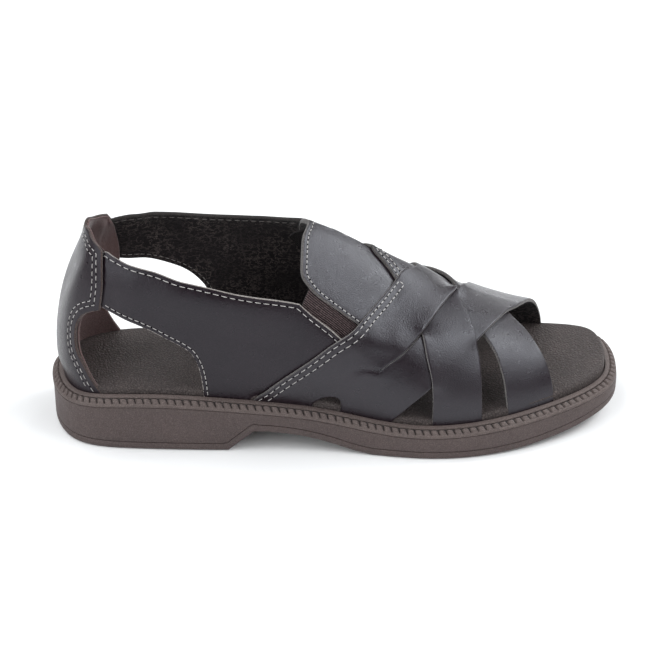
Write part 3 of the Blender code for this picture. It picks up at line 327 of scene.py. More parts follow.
def feather(side, share):
    """Foot of the wall's outer face, level with the welt's inner edge."""
    s = np.asarray(share, float) * SIDE_LENGTH[side]
    p = outline(s if side == L else -s, FEATHER_INSET)
    return np.concatenate([p, (lip_height(p[..., 0]) + welt_rise(p[..., 0]))[..., None]], -1)


def last(side, share, rise):
    """Point of the last at a share along one side and a rise from feather line (0) to crest (1)."""
    share, rise = np.broadcast_arrays(np.asarray(share, float), np.asarray(rise, float))
    foot = feather(side, share)
    cx, cy, cz, wr, wz, sr, sz = [g(share) for g in SECTIONS[side]]
    r = [np.ones_like(wr), wr, sr, np.zeros_like(wr)]
    z = [foot[..., 2], wz, sz, cz]
    k = np.diff(SECTION_KNOTS)

    def slopes(v, top):
        d = [(v[i + 1] - v[i]) / k[i] for i in range(3)]
        return [(d[0] * (2 * k[0] + k[1]) - d[1] * k[0]) / (k[0] + k[1]),
                (d[0] * k[1] + d[1] * k[0]) / (k[0] + k[1]),
                (d[1] * k[2] + d[2] * k[1]) / (k[1] + k[2]), d[2] * top]

    i = np.clip(np.searchsorted(SECTION_KNOTS, rise, side="right") - 1, 0, 2)
    t = np.maximum((rise - np.take(SECTION_KNOTS, i)) / np.take(k, i), 0)

    def hermite(v, m):
        h = np.take(k, i)
        return (np.choose(i, v) * (1 + 2 * t) * (1 - t) ** 2 + h * np.choose(i, m) * t * (1 - t) ** 2
                + np.choose(i + 1, v) * t * t * (3 - 2 * t) + h * np.choose(i + 1, m) * t * t * (t - 1))

    reach = hermite(r, slopes(r, 1.15))
    height = hermite(z, slopes(z, 0.0)) + np.minimum(rise, 0) * TUCK_SCALE
    crest = np.stack([cx, cy], -1)
    return np.concatenate([crest + (foot[..., :2] - crest) * reach[..., None], height[..., None]], -1)


def last_normal(side, share, rise):
    h = 1e-3
    share, rise = np.asarray(share, float), np.asarray(rise, float)
    du = last(side, np.clip(share + h, 0, 1), rise) - last(side, np.clip(share - h, 0, 1), rise)
    top = np.minimum(rise + h, 1)
    dr = last(side, share, top) - last(side, share, top - 2 * h)
    n = np.cross(du, dr) * (1 if side == L else -1)
    return n / np.linalg.norm(n, axis=-1)[..., None]


# The pattern sheet: both sides of the last unrolled into one plane that is
# joined along the crest and round the heel.


def crest_xy(share):
    return np.stack([SECTIONS[L][0](share), SECTIONS[L][1](share)], -1)


def ray(side, share):
    d = feather(side, share)[..., :2] - crest_xy(share)
    return d / np.linalg.norm(d, axis=-1)[..., None]


def to_sheet(rows):
    """Sheet points of rows (side, share, rise)."""
    out = []
    for side, share, rise in rows:
        out.append(crest_xy(share) + ray(side, share) * CHART * (1 - rise))
    return np.array(out)


def from_sheet(q):
    """Side flags (True lateral), shares and rises of sheet points."""
    q = np.asarray(q, float)
    table = np.linspace(0, 1, 401)
    line = crest_xy(table)
    lateral = q[:, 1] < np.interp(q[:, 0], line[:, 0], line[:, 1])
    share = np.zeros(len(q))
    for side, mask in ((L, lateral), (M, ~lateral)):
        if not mask.any():
            continue
        p, lo, hi = q[mask], np.zeros(mask.sum()), np.ones(mask.sum())
        for _ in range(34):
            mid = (lo + hi) / 2
            d, v = ray(side, mid), p - crest_xy(mid)
            turn = (d[:, 0] * v[:, 1] - d[:, 1] * v[:, 0]) * (1 if side == L else -1)
            ahead = turn > 0
            lo, hi = np.where(ahead, mid, lo), np.where(ahead, hi, mid)
        share[mask] = (lo + hi) / 2
    rise = 1 - np.linalg.norm(q - crest_xy(share), axis=1) / CHART
    return lateral, share, rise


def surface(q):
    """Points and outward normals on the last for sheet points."""
    lateral, share, rise = from_sheet(q)
    p, n = np.zeros((len(q), 3)), np.zeros((len(q), 3))
    for side, mask in ((L, lateral), (M, ~lateral)):
        if mask.any():
            p[mask] = last(side, share[mask], rise[mask])
            n[mask] = last_normal(side, share[mask], rise[mask])
    return p, n, lateral, share, rise


def smooth_edge(rows, step=SIDE_STEP):
    """Sheet points along a smooth edge through the rows."""
    c = to_sheet(rows)
    s = np.concatenate([[0], np.cumsum(np.linalg.norm(np.diff(c, axis=0), axis=1))])
    n = max(2, int(round(s[-1] / step)) + 1)
    u = np.linspace(0, s[-1], n)
    if len(rows) < 3:
        return np.stack([np.interp(u, s, c[:, 0]), np.interp(u, s, c[:, 1])], 1)
    return np.stack([spline(s, c[:, 0])(u), spline(s, c[:, 1])(u)], 1)


def foot_edge(side, share0, share1, step=SIDE_STEP):
    """Sheet points along the wall's lower end, tucked behind the welt."""
    n = max(2, int(abs(share1 - share0) * SIDE_LENGTH[side] / step) + 1)
    return to_sheet([(side, s, TUCK) for s in np.linspace(share0, share1, n)])


def ring(*edges):
    """One closed outline from edges laid end to end."""
    pts = []
    for e in edges:
        for p in e:
            if not pts or np.hypot(*(p - pts[-1])) > 0.4:
                pts.append(p)
    if np.hypot(*(pts[0] - pts[-1])) < 0.4:
        pts.pop()
    return np.array(pts)


def inside(poly, q):
    """Even-odd test of points against one outline."""
    x, y = q[:, 0], q[:, 1]
    hit = np.zeros(len(q), bool)
    a, b = poly, np.roll(poly, -1, axis=0)
    for (x0, y0), (x1, y1) in zip(a, b):
        if y0 != y1:
            cross = ((y0 > y) != (y1 > y)) & (x < (x1 - x0) * (y - y0) / (y1 - y0) + x0)
            hit ^= cross
    return hit

# ---- meshes on the last -----------------------------------------------------


def place(q):
    """Points of the last for sheet points."""
    lateral, share, rise = from_sheet(q)
    p = np.zeros((len(q), 3))
    for side, mask in ((L, lateral), (M, ~lateral)):
        if mask.any():
            p[mask] = last(side, share[mask], rise[mask])
    return p


def tree(points):
    kd = KDTree(len(points))
    for i, p in enumerate(points):
        kd.insert(tuple(p) if len(p) == 3 else (p[0], p[1], 0.0), i)
    kd.balance()
    return kd


def distance(points, line, closed=False):
    """Distance of points from a finely sampled line, in two or three dimensions."""
    kd = tree(line)
    hit = np.array([kd.find(tuple(p) if len(p) == 3 else (p[0], p[1], 0.0))[1] for p in points])
    n, best = len(line), np.full(len(points), 1e9)
    for step in (-1, 0):
        i, j = hit + step, hit + step + 1
        if closed:
            i, j = i % n, j % n
        else:
            i, j = np.clip(i, 0, n - 1), np.clip(j, 0, n - 1)
        a, d = line[i], line[j] - line[i]
        t = np.clip(((points - a) * d).sum(1) / np.maximum((d * d).sum(1), 1e-12), 0, 1)
        best = np.minimum(best, np.linalg.norm(points - a - t[:, None] * d, axis=1))
    return best


def dense(line, step, closed=False):
    """The line with more points, about a step apart."""
    ends = np.roll(line, -1, axis=0) if closed else line[1:]
    out = []
    for a, b in zip(line, ends):
        k = max(1, int(math.ceil(np.linalg.norm(b - a) / step)))
        out += [a + (b - a) * i / k for i in range(k)]
    if not closed:
        out.append(line[-1])
    return np.array(out)


def turn_in(line, closed=False):
    """Sheet steps that move each point one millimetre across the line, to its left, at right angles on the leather."""
    d = np.roll(line, -1, axis=0) - np.roll(line, 1, axis=0) if closed else np.gradient(line, axis=0)
    d = d / np.maximum(np.linalg.norm(d, axis=1), 1e-9)[:, None]
    h = 0.25
    base = place(line)
    jx = (place(line + (h, 0.0)) - base) / h
    jy = (place(line + (0.0, h)) - base) / h
    along = jx * d[:, :1] + jy * d[:, 1:]
    across = np.cross(np.cross(jx, jy), along)
    across /= np.maximum(np.linalg.norm(across, axis=1), 1e-9)[:, None]
    xx, xy, yy = (jx * jx).sum(1), (jx * jy).sum(1), (jy * jy).sum(1)
    bx, by = (jx * across).sum(1), (jy * across).sum(1)
    det = np.maximum(xx * yy - xy * xy, 1e-6)
    return np.stack([(yy * bx - xy * by) / det, (xx * by - xy * bx) / det], 1)


def shifted(line, across, amount):
    """Sheet line moved sideways by an amount measured on the leather."""
    here = place(line)
    amount = np.broadcast_to(np.asarray(amount, float), len(line))
    step = amount.copy()
    for _ in range(2):
        gone = np.linalg.norm(place(line + across * step[:, None]) - here, axis=1)
        step = step * np.clip(np.abs(amount) / np.maximum(gone, 1e-6), 0.5, 2.0)
    return line + across * step[:, None]


class Sheet:
    """A piece of leather cut to one outline: its mesh, its place on the last and its height above it."""

    def __init__(self, poly, spacing=1.5, rows=(0.16, 0.5, 1.1), lines=()):
        self.ccw = (poly[:, 0] * np.roll(poly[:, 1], -1) - poly[:, 1] * np.roll(poly[:, 0], -1)).sum() > 0
        self.poly = dense(poly, 1.0, True)
        self.rim3 = place(dense(self.poly, 0.35, True))
        across = turn_in(self.poly, True) * (1 if self.ccw else -1)
        loose = []
        for r in rows:
            q = shifted(self.poly, across, r)
            p = place(q)
            loose.append(q[(distance(p, self.rim3, True) > 0.8 * r) & inside(self.poly, q)])
        lo, hi = self.poly.min(0), self.poly.max(0)
        gx = np.arange(lo[0], hi[0], spacing)
        gy = np.arange(lo[1], hi[1], spacing * 0.866)
        grid = np.stack(np.meshgrid(gx, gy), -1)
        grid[1::2, :, 0] += spacing / 2
        grid = grid.reshape(-1, 2)
        grid = grid[inside(self.poly, grid)]
        grid = grid[distance(place(grid), self.rim3, True) > rows[-1] + 0.45]
        for line in lines:                      # rows that the mesh follows, such as the seams
            for off in (-0.45, 0.0, 0.45):
                q = shifted(line, turn_in(line), off) if off else line
                q = q[inside(self.poly, q)]
                loose.append(q[distance(place(q), self.rim3, True) > 0.3])
            grid = grid[distance(grid, dense(line, 0.5)) > 0.9]
        verts = [Vector(p) for p in self.poly] + [Vector(p) for q in loose for p in q] + [Vector(p) for p in grid]
        n = len(self.poly)
        out = delaunay_2d_cdt(verts, [(i, (i + 1) % n) for i in range(n)], [], 0, 1e-4)
        v = np.array([list(p) for p in out[0]])
        f = np.array([t for t in out[2] if len(t) == 3])
        p, q, r = v[f[:, 0]], v[f[:, 1]], v[f[:, 2]]
        area = (q[:, 0] - p[:, 0]) * (r[:, 1] - p[:, 1]) - (q[:, 1] - p[:, 1]) * (r[:, 0] - p[:, 0])
        f[area < 0] = f[area < 0][:, ::-1]
        f = f[(np.abs(area) > 1e-7) & inside(self.poly, v[f].mean(1))]
        used = np.unique(f)
        new = np.full(len(v), -1)
        new[used] = np.arange(len(used))
        self.q, self.tris = v[used], new[f]
        self.p, self.n, self.lateral, self.share, self.rise = surface(self.q)
        self.edge = distance(self.p, self.rim3, True)
        self.lift = np.zeros(len(self.q))
        self.links = self._links()

    def _links(self):
        e = np.concatenate([self.tris[:, [0, 1]], self.tris[:, [1, 2]], self.tris[:, [2, 0]]])
        e = np.unique(np.sort(e, axis=1), axis=0)
        w = 1 / np.maximum(np.linalg.norm(self.p[e[:, 0]] - self.p[e[:, 1]], axis=1), 0.15)
        return e, w, np.bincount(e.ravel(), np.repeat(w, 2), len(self.q))

    def mean(self, x):
        """Weighted mean of each point's neighbours."""
        e, w, total = self.links
        s = np.bincount(e[:, 0], w * x[e[:, 1]], len(x)) + np.bincount(e[:, 1], w * x[e[:, 0]], len(x))
        return s / total

    def height(self, q):
        """Lift of the sheet at sheet points."""
        if not hasattr(self, "kd"):
            self.kd = tree(self.q)
        out = []
        for p in q:
            near = self.kd.find_n((p[0], p[1], 0.0), 3)
            w = np.array([1 / (d + 0.05) for _, _, d in near])
            out.append((w * self.lift[[i for _, i, _ in near]]).sum() / w.sum())
        return np.array(out)


def row(points):
    """Points of the last in the frame's metres."""
    return (np.asarray(points, float) - ORIGIN) * MM


def finish_piece(name, verts, faces, kinds, materials, angle=50):
    """Mesh piece with smooth shading that rides on the part."""
    mesh = bpy.data.meshes.new(name)
    mesh.from_pydata([tuple(p) for p in row(verts)], [], [tuple(int(i) for i in f) for f in faces])
    for m in materials:
        mesh.materials.append(m)
    mesh.polygons.foreach_set("material_index", np.asarray(kinds, np.int32))
    mesh.validate()
    mesh.update()
    mesh.shade_smooth()
    mesh.set_sharp_from_angle(angle=math.radians(angle))
    obj = bpy.data.objects.new(name, mesh)
    bpy.context.scene.collection.objects.link(obj)
    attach(obj, "root")
    return obj


def leather_piece(name, sheet, thickness, materials, round_out=0.55, round_in=0.35, grooves=(),
                  rim=0.56):
    """Leather between its outer face and its flesh side, with rounded cut edges.

    materials: outer face, cut edge, flesh side."""
    def rounding(r):
        d = np.clip(r - sheet.edge, 0, r)
        return r - np.sqrt(np.maximum(r * r - d * d, 0))

    lift = sheet.lift.copy()
    for line, depth, width in grooves:
        lift -= depth * np.exp(-(distance(sheet.p, line) / width) ** 2)
    top = sheet.p + sheet.n * (lift - rounding(round_out))[:, None]
    low = sheet.p + sheet.n * (sheet.lift - thickness + rounding(round_in))[:, None]
    n, faces, kinds = len(top), [], []
    count = {}
    for t in sheet.tris.tolist():
        for i in range(3):
            count[(t[i], t[(i + 1) % 3])] = 1
    # Faces on both sides within rim of the cut edge take the cut-edge material too, which carries its painted light
    # over the rounding.
    near = (sheet.edge < rim)[sheet.tris].all(1)
    faces = sheet.tris.tolist()
    kinds = np.where(near, 1, 0).tolist()
    faces += [[a + n for a in t[::-1]] for t in sheet.tris.tolist()]
    kinds += np.where(near, 1, 2).tolist()
    for (a, b) in count:
        if (b, a) not in count:
            faces.append([b, a, a + n, b + n])
            kinds.append(1)
    return finish_piece(name, np.concatenate([top, low]), faces, kinds, materials)


# ---- materials --------------------------------------------------------------


class Nodes:
    """Short way to lay out a material's nodes."""

    def __init__(self, name):
        self.mat = bpy.data.materials.new(name)
        self.mat.use_nodes = True
        self.tree = self.mat.node_tree
        self.bsdf = self.tree.nodes["Principled BSDF"]
        self.pos = self.add("ShaderNodeTexCoord").outputs["Object"]

    def add(self, kind, **values):
        node = self.tree.nodes.new(kind)
        for key, value in values.items():
            setattr(node, key, value)
        return node

    def link(self, a, b):
        self.tree.links.new(a, b)

    def noise(self, scale, detail=3.0, rough=0.5, stretch=None):
        node = self.add("ShaderNodeTexNoise")
        node.inputs["Scale"].default_value = scale
        node.inputs["Detail"].default_value = detail
        node.inputs["Roughness"].default_value = rough
        self.link(self.stretched(stretch), node.inputs["Vector"])
        return node.outputs["Fac"]

    def stretched(self, stretch):
        if stretch is None:
            return self.pos
        m = self.add("ShaderNodeMapping")
        m.inputs["Scale"].default_value = stretch
        self.link(self.pos, m.inputs["Vector"])
        return m.outputs["Vector"]

    def cells(self, scale, feature="F1", stretch=None, out="Distance"):
        node = self.add("ShaderNodeTexVoronoi", feature=feature)
        node.inputs["Scale"].default_value = scale
        self.link(self.stretched(stretch), node.inputs["Vector"])
        return node.outputs[out]

    def wave(self, scale, direction="X", distortion=0.0, detail_scale=1.0):
        node = self.add("ShaderNodeTexWave", bands_direction=direction)
        node.inputs["Scale"].default_value = scale
        node.inputs["Distortion"].default_value = distortion
        node.inputs["Detail Scale"].default_value = detail_scale
        self.link(self.pos, node.inputs["Vector"])
        return node.outputs["Fac"]

    def ramp(self, fac, stops):
        node = self.add("ShaderNodeValToRGB")
        ramp = node.color_ramp
        while len(ramp.elements) > 1:
            ramp.elements.remove(ramp.elements[0])
        for i, (at, value) in enumerate(stops):
            e = ramp.elements[0] if i == 0 else ramp.elements.new(at)
            e.position = at
            e.color = (*value, 1.0) if isinstance(value, tuple) else (value, value, value, 1.0)
        self.link(fac, node.inputs["Fac"])
        return node.outputs["Color"]

    def math(self, op, a, b=None, clamp=False):
        node = self.add("ShaderNodeMath", operation=op, use_clamp=clamp)
        for i, v in enumerate((a, b)):
            if v is None:
                continue
            if isinstance(v, (int, float)):
                node.inputs[i].default_value = v
            else:
                self.link(v, node.inputs[i])
        return node.outputs[0]

    def mix(self, fac, a, b, blend="MIX"):
        node = self.add("ShaderNodeMix", data_type="RGBA", blend_type=blend)
        for socket, v in (("Factor", fac),):
            if isinstance(v, (int, float)):
                node.inputs[0].default_value = v
            else:
                self.link(v, node.inputs[0])
        for i, v in ((6, a), (7, b)):
            if isinstance(v, tuple):
                node.inputs[i].default_value = (*v, 1.0)
            else:
                self.link(v, node.inputs[i])
        return node.outputs[2]

    def bump(self, height, distance, strength=1.0, below=None):
        node = self.add("ShaderNodeBump")
        node.inputs["Strength"].default_value = strength
        node.inputs["Distance"].default_value = distance
        self.link(height, node.inputs["Height"])
        if below is not None:
            self.link(below, node.inputs["Normal"])
        return node.outputs["Normal"]

    def done(self, colour, roughness, normal, specular=0.5, **sockets):
        self.link(colour, self.bsdf.inputs["Base Color"])
        if isinstance(roughness, (int, float)):
            self.bsdf.inputs["Roughness"].default_value = roughness
        else:
            self.link(roughness, self.bsdf.inputs["Roughness"])
        self.link(normal, self.bsdf.inputs["Normal"])
        self.bsdf.inputs["Specular IOR Level"].default_value = specular
        self.bsdf.inputs["Metallic"].default_value = 0.0
        for key, value in sockets.items():
            self.bsdf.inputs[key.replace("_", " ")].default_value = value
        return self.mat


def srgb(r, g, b):
    """Linear colour from 0-255 screen values."""
    f = lambda v: v / 12.92 if v <= 0.04045 else ((v + 0.055) / 1.055) ** 2.4
    return tuple(f(v / 255) for v in (r, g, b))


def leather_material(name, dark, light, light_specks, level, roughness=(0.26, 0.35)):
    m = Nodes(name)
    tone = m.noise(38, 4, 0.55)
    colour = m.mix(m.ramp(tone, [(0.32, 0.0), (0.70, 1.0)]), dark, light)
    mottle = m.noise(900, 2, 0.5)
    colour = m.mix(m.ramp(mottle, [(0.42, 0.0), (0.75, 0.35)]), colour, tuple(1.7 * c for c in light))
    # Sparse light specks mixed into the colour.
    specks = m.ramp(m.cells(620, out="Distance"), [(0.0, 1.0), (0.07, 0.0)])
    rare = m.ramp(m.noise(120, 2, 0.5), [(0.58, 0.0), (0.70, 0.55)])
    colour = m.mix(m.math("MULTIPLY", specks, rare), colour, light_specks)
    pores = m.cells(1500)
    grain = m.noise(2600, 3, 0.6)
    soft = m.noise(150, 3, 0.5)
    n = m.bump(soft, 0.0009, 0.14)
    n = m.bump(pores, 0.00018, 0.42, n)
    n = m.bump(grain, 0.00014, 0.45, n)
    rough = m.ramp(m.noise(210, 4, 0.6), [(0.3, roughness[0]), (0.72, roughness[1])])
    return m.done(colour, rough, n, level, Specular_Tint=(0.90, 0.935, 1.0, 1.0))


leather_face = leather_material("leather_face", srgb(20, 10, 16), srgb(27, 16, 22), srgb(120, 112, 106), 0.40)
strap_face = leather_material("strap_leather", srgb(20, 10, 16), srgb(27, 16, 22), srgb(120, 112, 106), 0.56)


def cut_edge(name, tones):
    m = Nodes(name)
    fuzz = m.noise(1700, 4, 0.7)
    colour = m.ramp(fuzz, tones)
    n = m.bump(fuzz, 0.00035, 0.8)
    return m.done(colour, 0.9, n, 0.25, Sheen_Weight=0.25, Sheen_Roughness=0.5)


def flesh_side():
    m = Nodes("flesh_side")
    nap = m.noise(1100, 5, 0.75)
    fold = m.noise(230, 4, 0.65, (1.0, 1.0, 1.7))
    crease = m.ramp(m.math("ABSOLUTE", m.math("SUBTRACT", fold, 0.5)), [(0.0, 1.0), (0.036, 0.0)])
    cloud = m.ramp(m.noise(60, 3, 0.6), [(0.38, 0.15), (0.66, 0.75)])
    colour = m.ramp(nap, [(0.36, srgb(17, 13, 15)), (0.54, srgb(26, 21, 23)), (0.70, srgb(50, 43, 44))])
    colour = m.mix(m.math("MULTIPLY", crease, cloud), colour, srgb(112, 102, 98))
    n = m.bump(nap, 0.0005, 0.7)
    n = m.bump(crease, 0.0004, 0.35, n)
    return m.done(colour, 0.92, n, 0.2, Sheen_Weight=0.15, Sheen_Roughness=0.45)


def thread(name, dark, light):
    m = Nodes(name)
    ply = m.noise(2400, 2, 0.6)
    colour = m.ramp(ply, [(0.30, dark), (0.70, light)])
    return m.done(colour, 0.62, m.bump(ply, 0.0002, 0.6), 0.4)


# Near-black material for caps between the stitches: painted shade of the needle holes and the seam groove.
def needle_hole_painted_shade():
    m = Nodes("needle_hole_painted_shade")
    colour = m.ramp(m.noise(1500, 2, 0.5), [(0.3, srgb(5, 4, 5)), (0.7, srgb(11, 10, 11))])
    return m.done(colour, 0.9, m.bump(m.noise(2000, 2, 0.5), 0.0001, 0.4), 0.1)


def sole_rubber(name, dark, light, speck):
    m = Nodes(name)
    tone = m.noise(26, 4, 0.6)
    colour = m.ramp(tone, [(0.3, dark), (0.7, light)])
    grain = m.noise(1250, 3, 0.6)
    colour = m.mix(m.ramp(grain, [(0.45, 0.0), (0.80, 0.5)]), colour, speck)
    sand = m.noise(2100, 2, 0.6)
    colour = m.mix(m.ramp(sand, [(0.52, 0.0), (0.76, 0.5)]), colour, tuple(1.4 * c for c in speck))
    colour = m.mix(m.ramp(sand, [(0.28, 0.6), (0.46, 0.0)]), colour, tuple(0.45 * c for c in dark))
    pits = m.ramp(m.cells(900), [(0.0, 0.0), (0.28, 1.0)])
    n = m.bump(grain, 0.00022, 0.5)
    n = m.bump(pits, 0.00010, 0.25, n)
    n = m.bump(m.noise(60, 3, 0.5), 0.0012, 0.10, n)
    rough = m.ramp(m.noise(300, 3, 0.6), [(0.3, 0.55), (0.75, 0.72)])
    return m.done(colour, rough, n, 0.4)


def footbed():
    m = Nodes("footbed")
    tone = m.noise(45, 4, 0.6)
    colour = m.ramp(tone, [(0.3, srgb(60, 52, 51)), (0.7, srgb(75, 66, 64))])
    pebble = m.cells(620, "DISTANCE_TO_EDGE")
    ridge = m.ramp(pebble, [(0.02, 0.0), (0.32, 1.0)])
    # Darker in the valleys between the pebbles: painted shade.
    colour = m.mix(m.ramp(pebble, [(0.02, 0.55), (0.22, 0.0)]), colour, srgb(30, 25, 25))
    colour = m.mix(m.ramp(m.noise(1500, 2, 0.5), [(0.5, 0.0), (0.8, 0.35)]), colour, srgb(120, 111, 107))
    n = m.bump(m.noise(170, 4, 0.6), 0.0010, 0.30)
    n = m.bump(ridge, 0.0004, 0.8, n)
    n = m.bump(m.noise(2200, 3, 0.6), 0.0001, 0.4, n)
    return m.done(colour, 0.68, n, 0.35)


def textile():
    m = Nodes("lining_textile")
    weft = m.wave(560, "Z")
    warp = m.wave(620, "X")
    weave = m.math("MULTIPLY", weft, warp)
    fuzz = m.noise(1400, 4, 0.7)
    colour = m.ramp(m.math("ADD", m.math("MULTIPLY", weave, 0.4), m.math("MULTIPLY", fuzz, 0.6)),
                    [(0.25, srgb(70, 52, 51)), (0.5, srgb(106, 83, 82)), (0.78, srgb(142, 119, 114))])
    n = m.bump(weave, 0.00025, 0.5)
    n = m.bump(fuzz, 0.0003, 0.5, n)
    return m.done(colour, 0.92, n, 0.2, Sheen_Weight=0.3, Sheen_Roughness=0.5)


def elastic(name, dark, mid, light):
    m = Nodes(name)
    yarn = m.noise(1500, 3, 0.65)
    colour = m.ramp(yarn, [(0.28, dark), (0.52, mid), (0.78, light)])
    n = m.bump(yarn, 0.0003, 0.6)
    return m.done(colour, 0.8, n, 0.3, Sheen_Weight=0.2, Sheen_Roughness=0.4)


# Cut edges come as lit and shaded copies of one material. This light copy is the raw edge's lighter colour plus a
# painted highlight, for edges turned up to the light.
raw_edge_painted_highlight = cut_edge("cut_edge", [(0.30, srgb(84, 79, 77)), (0.50, srgb(128, 122, 118)), (0.72, srgb(180, 174, 169))])
# Darker copy for the heel counter: painted shade on its cut edges.
counter_edge_painted_shade = cut_edge("counter_edge_painted_shade", [(0.30, srgb(40, 31, 30)), (0.50, srgb(62, 50, 47)), (0.72, srgb(98, 84, 79))])
# Darkest copy for the far quarter: painted shade on edges that lie in shadow.
shade_edge = cut_edge("shaded_edge", [(0.30, srgb(18, 15, 15)), (0.50, srgb(32, 28, 27)), (0.72, srgb(62, 56, 54))])
# Darker copy for the straps and the instep panel: painted shade on edges turned away from the light.
strap_edge_painted_shade = cut_edge("strap_edge_painted_shade", [(0.30, srgb(52, 49, 49)), (0.50, srgb(86, 82, 81)), (0.72, srgb(138, 133, 130))])
flesh_mat, hole_painted_shade_mat = flesh_side(), needle_hole_painted_shade()
thread_mat = thread("thread", srgb(156, 152, 150), srgb(206, 203, 200))
# Darker copy of the thread for the stitches on the flesh side: painted shade.
flesh_thread_painted_shade_mat = thread("thread_flesh_side_painted_shade", srgb(100, 95, 93), srgb(146, 141, 138))
rubber_mat = sole_rubber("sole_rubber", srgb(67, 56, 55), srgb(75, 63, 61), srgb(98, 86, 83))
welt_mat = sole_rubber("welt_rubber", srgb(76, 65, 63), srgb(87, 76, 73), srgb(114, 102, 97))
# Dark copy of the welt rubber for the notches and furrow: painted shade.
welt_notch_painted_shade_mat = sole_rubber("welt_notch_painted_shade", srgb(28, 22, 22), srgb(37, 30, 29), srgb(58, 50, 48))
footbed_mat, textile_mat = footbed(), textile()
rib_mat = elastic("elastic_rib", srgb(54, 41, 43), srgb(88, 72, 73), srgb(150, 133, 131))
# Dark copy of the elastic for the rib valleys, the flesh side and the cut sides: painted shade.
elastic_painted_shade_mat = elastic("elastic_valley_painted_shade", srgb(12, 9, 10), srgb(22, 16, 18), srgb(42, 33, 34))
LEATHER_SET = [leather_face, raw_edge_painted_highlight, flesh_mat]
COUNTER_SET = [leather_face, counter_edge_painted_shade, flesh_mat]
INNER_SET = [leather_face, shade_edge, flesh_mat]
PANEL_SET = [strap_face, strap_edge_painted_shade, flesh_mat]
STRAP_SET = [strap_face, strap_edge_painted_shade, flesh_mat]

# ---- outlines ---------------------------------------------------------------
FINE = 1.2
SLIT = 0.0005             # half the gap of the slit between two fingers, as a share


def moved(rows, amount):
    return [rows[0]] + [(side, share + amount, rise) for side, share, rise in rows[1:]]


def foot(side, a, b):
    return foot_edge(side, a, b, FINE)


def edge(rows):
    return smooth_edge(rows, FINE)


def wing_outline(side, far, a_rear, a_front, c_rear, c_front, end):
    arch = [(side, share, rise) for share, rise in ARCH_CUT if rise > TUCK]
    return ring(edge(a_rear), foot(far, 0.615, 0.693), edge(moved(a_front, -SLIT))[::-1],
                edge(moved(c_rear, SLIT)), foot(far, 0.734, end), edge(c_front)[::-1],
                foot(side, 0.554, 0.4768), edge(arch)[::-1], foot(side, 0.4408, 0.357))


def finger_a(side, far, rear, front):
    return ring(edge(rear), foot(far, 0.615, 0.693), edge(front)[::-1],
                edge([(side, 0.536, 0.306), (side, 0.556, 0.150), (side, 0.560, 0.0)]), foot(side, 0.560, 0.357))


def finger_c(side, far, rear, front, end):
    return ring(edge(rear), foot(far, 0.734, end), edge(front)[::-1], foot(side, 0.554, 0.520),
                edge([(side, 0.520, 0.0), (side, 0.525, 0.150), (side, 0.536, 0.306)]))


heel_outline = ring(edge(TOP_RIM), edge(COUNTER_FRONT_LATERAL), edge(COUNTER_CUT_LATERAL), foot(L, 0.132, 0.0),
                    foot(M, 0.0, 0.174), edge(COUNTER_CUT_MEDIAL), edge(COUNTER_FRONT_MEDIAL))
QUARTER_HIDDEN = [(0.492, 0.330), (0.470, 0.230), (0.443, 0.150), (0.414, 0.061), (0.388, 0.0)]
quarter_lateral = ring(edge(QUARTER_TOP_LATERAL), edge(QUARTER_GORE_LATERAL),
                       edge([(L, 0.482, 0.396)] + [(L, s, r) for s, r in QUARTER_HIDDEN]),
                       foot(L, 0.388, 0.284), edge(QUARTER_CUT_LATERAL),
                       edge([(L, 0.108, 0.405), (L, 0.092, 0.620)]))
quarter_medial = ring(edge(QUARTER_TOP_MEDIAL), edge(QUARTER_GORE_MEDIAL),
                      edge([(M, 0.490, 0.430), (M, 0.498, 0.380)] + [(M, s, r) for s, r in QUARTER_HIDDEN]),
                      foot(M, 0.388, 0.311), edge(QUARTER_CUT_MEDIAL),
                      edge([(M, 0.140, 0.390), (M, 0.105, 0.605)]))
panel_outline = ring(edge(PANEL_REAR), edge(PANEL_GORE_LATERAL), edge(PANEL_FRONT), edge(PANEL_GORE_MEDIAL))


def heel_depth(lateral, share, rise):
    """How far the quarters step in under the counter."""
    lat = 1 - smooth_step(0.145, 0.185, share)
    med = 1 - smooth_step(0.180, 0.220, share)
    return (COUNTER + CURVED_GAP) * np.where(lateral, lat, med)


# ---- stitching --------------------------------------------------------------
THREAD = 0.185            # radius of the thread


def seam_line(sheet, edges, amount):
    """Sheet points of a seam along some of the sheet's edges, an amount in from them, mitred at the corners.

    amount: one distance, or one per edge as (at its start, at its end)."""
    out = []
    for k, e in enumerate(edges):
        off = np.linspace(*amount[k], len(e)) if isinstance(amount, list) else np.full(len(e), amount)
        across = turn_in(e)
        if not inside(sheet.poly, e + across * 0.8).mean() > 0.5:
            across = -across
        q = shifted(e, across, off)
        d = distance(place(q), sheet.rim3, True)
        q = q[(d > 0.92 * off) & inside(sheet.poly, q)]
        out.append(q)
    return np.concatenate(out)


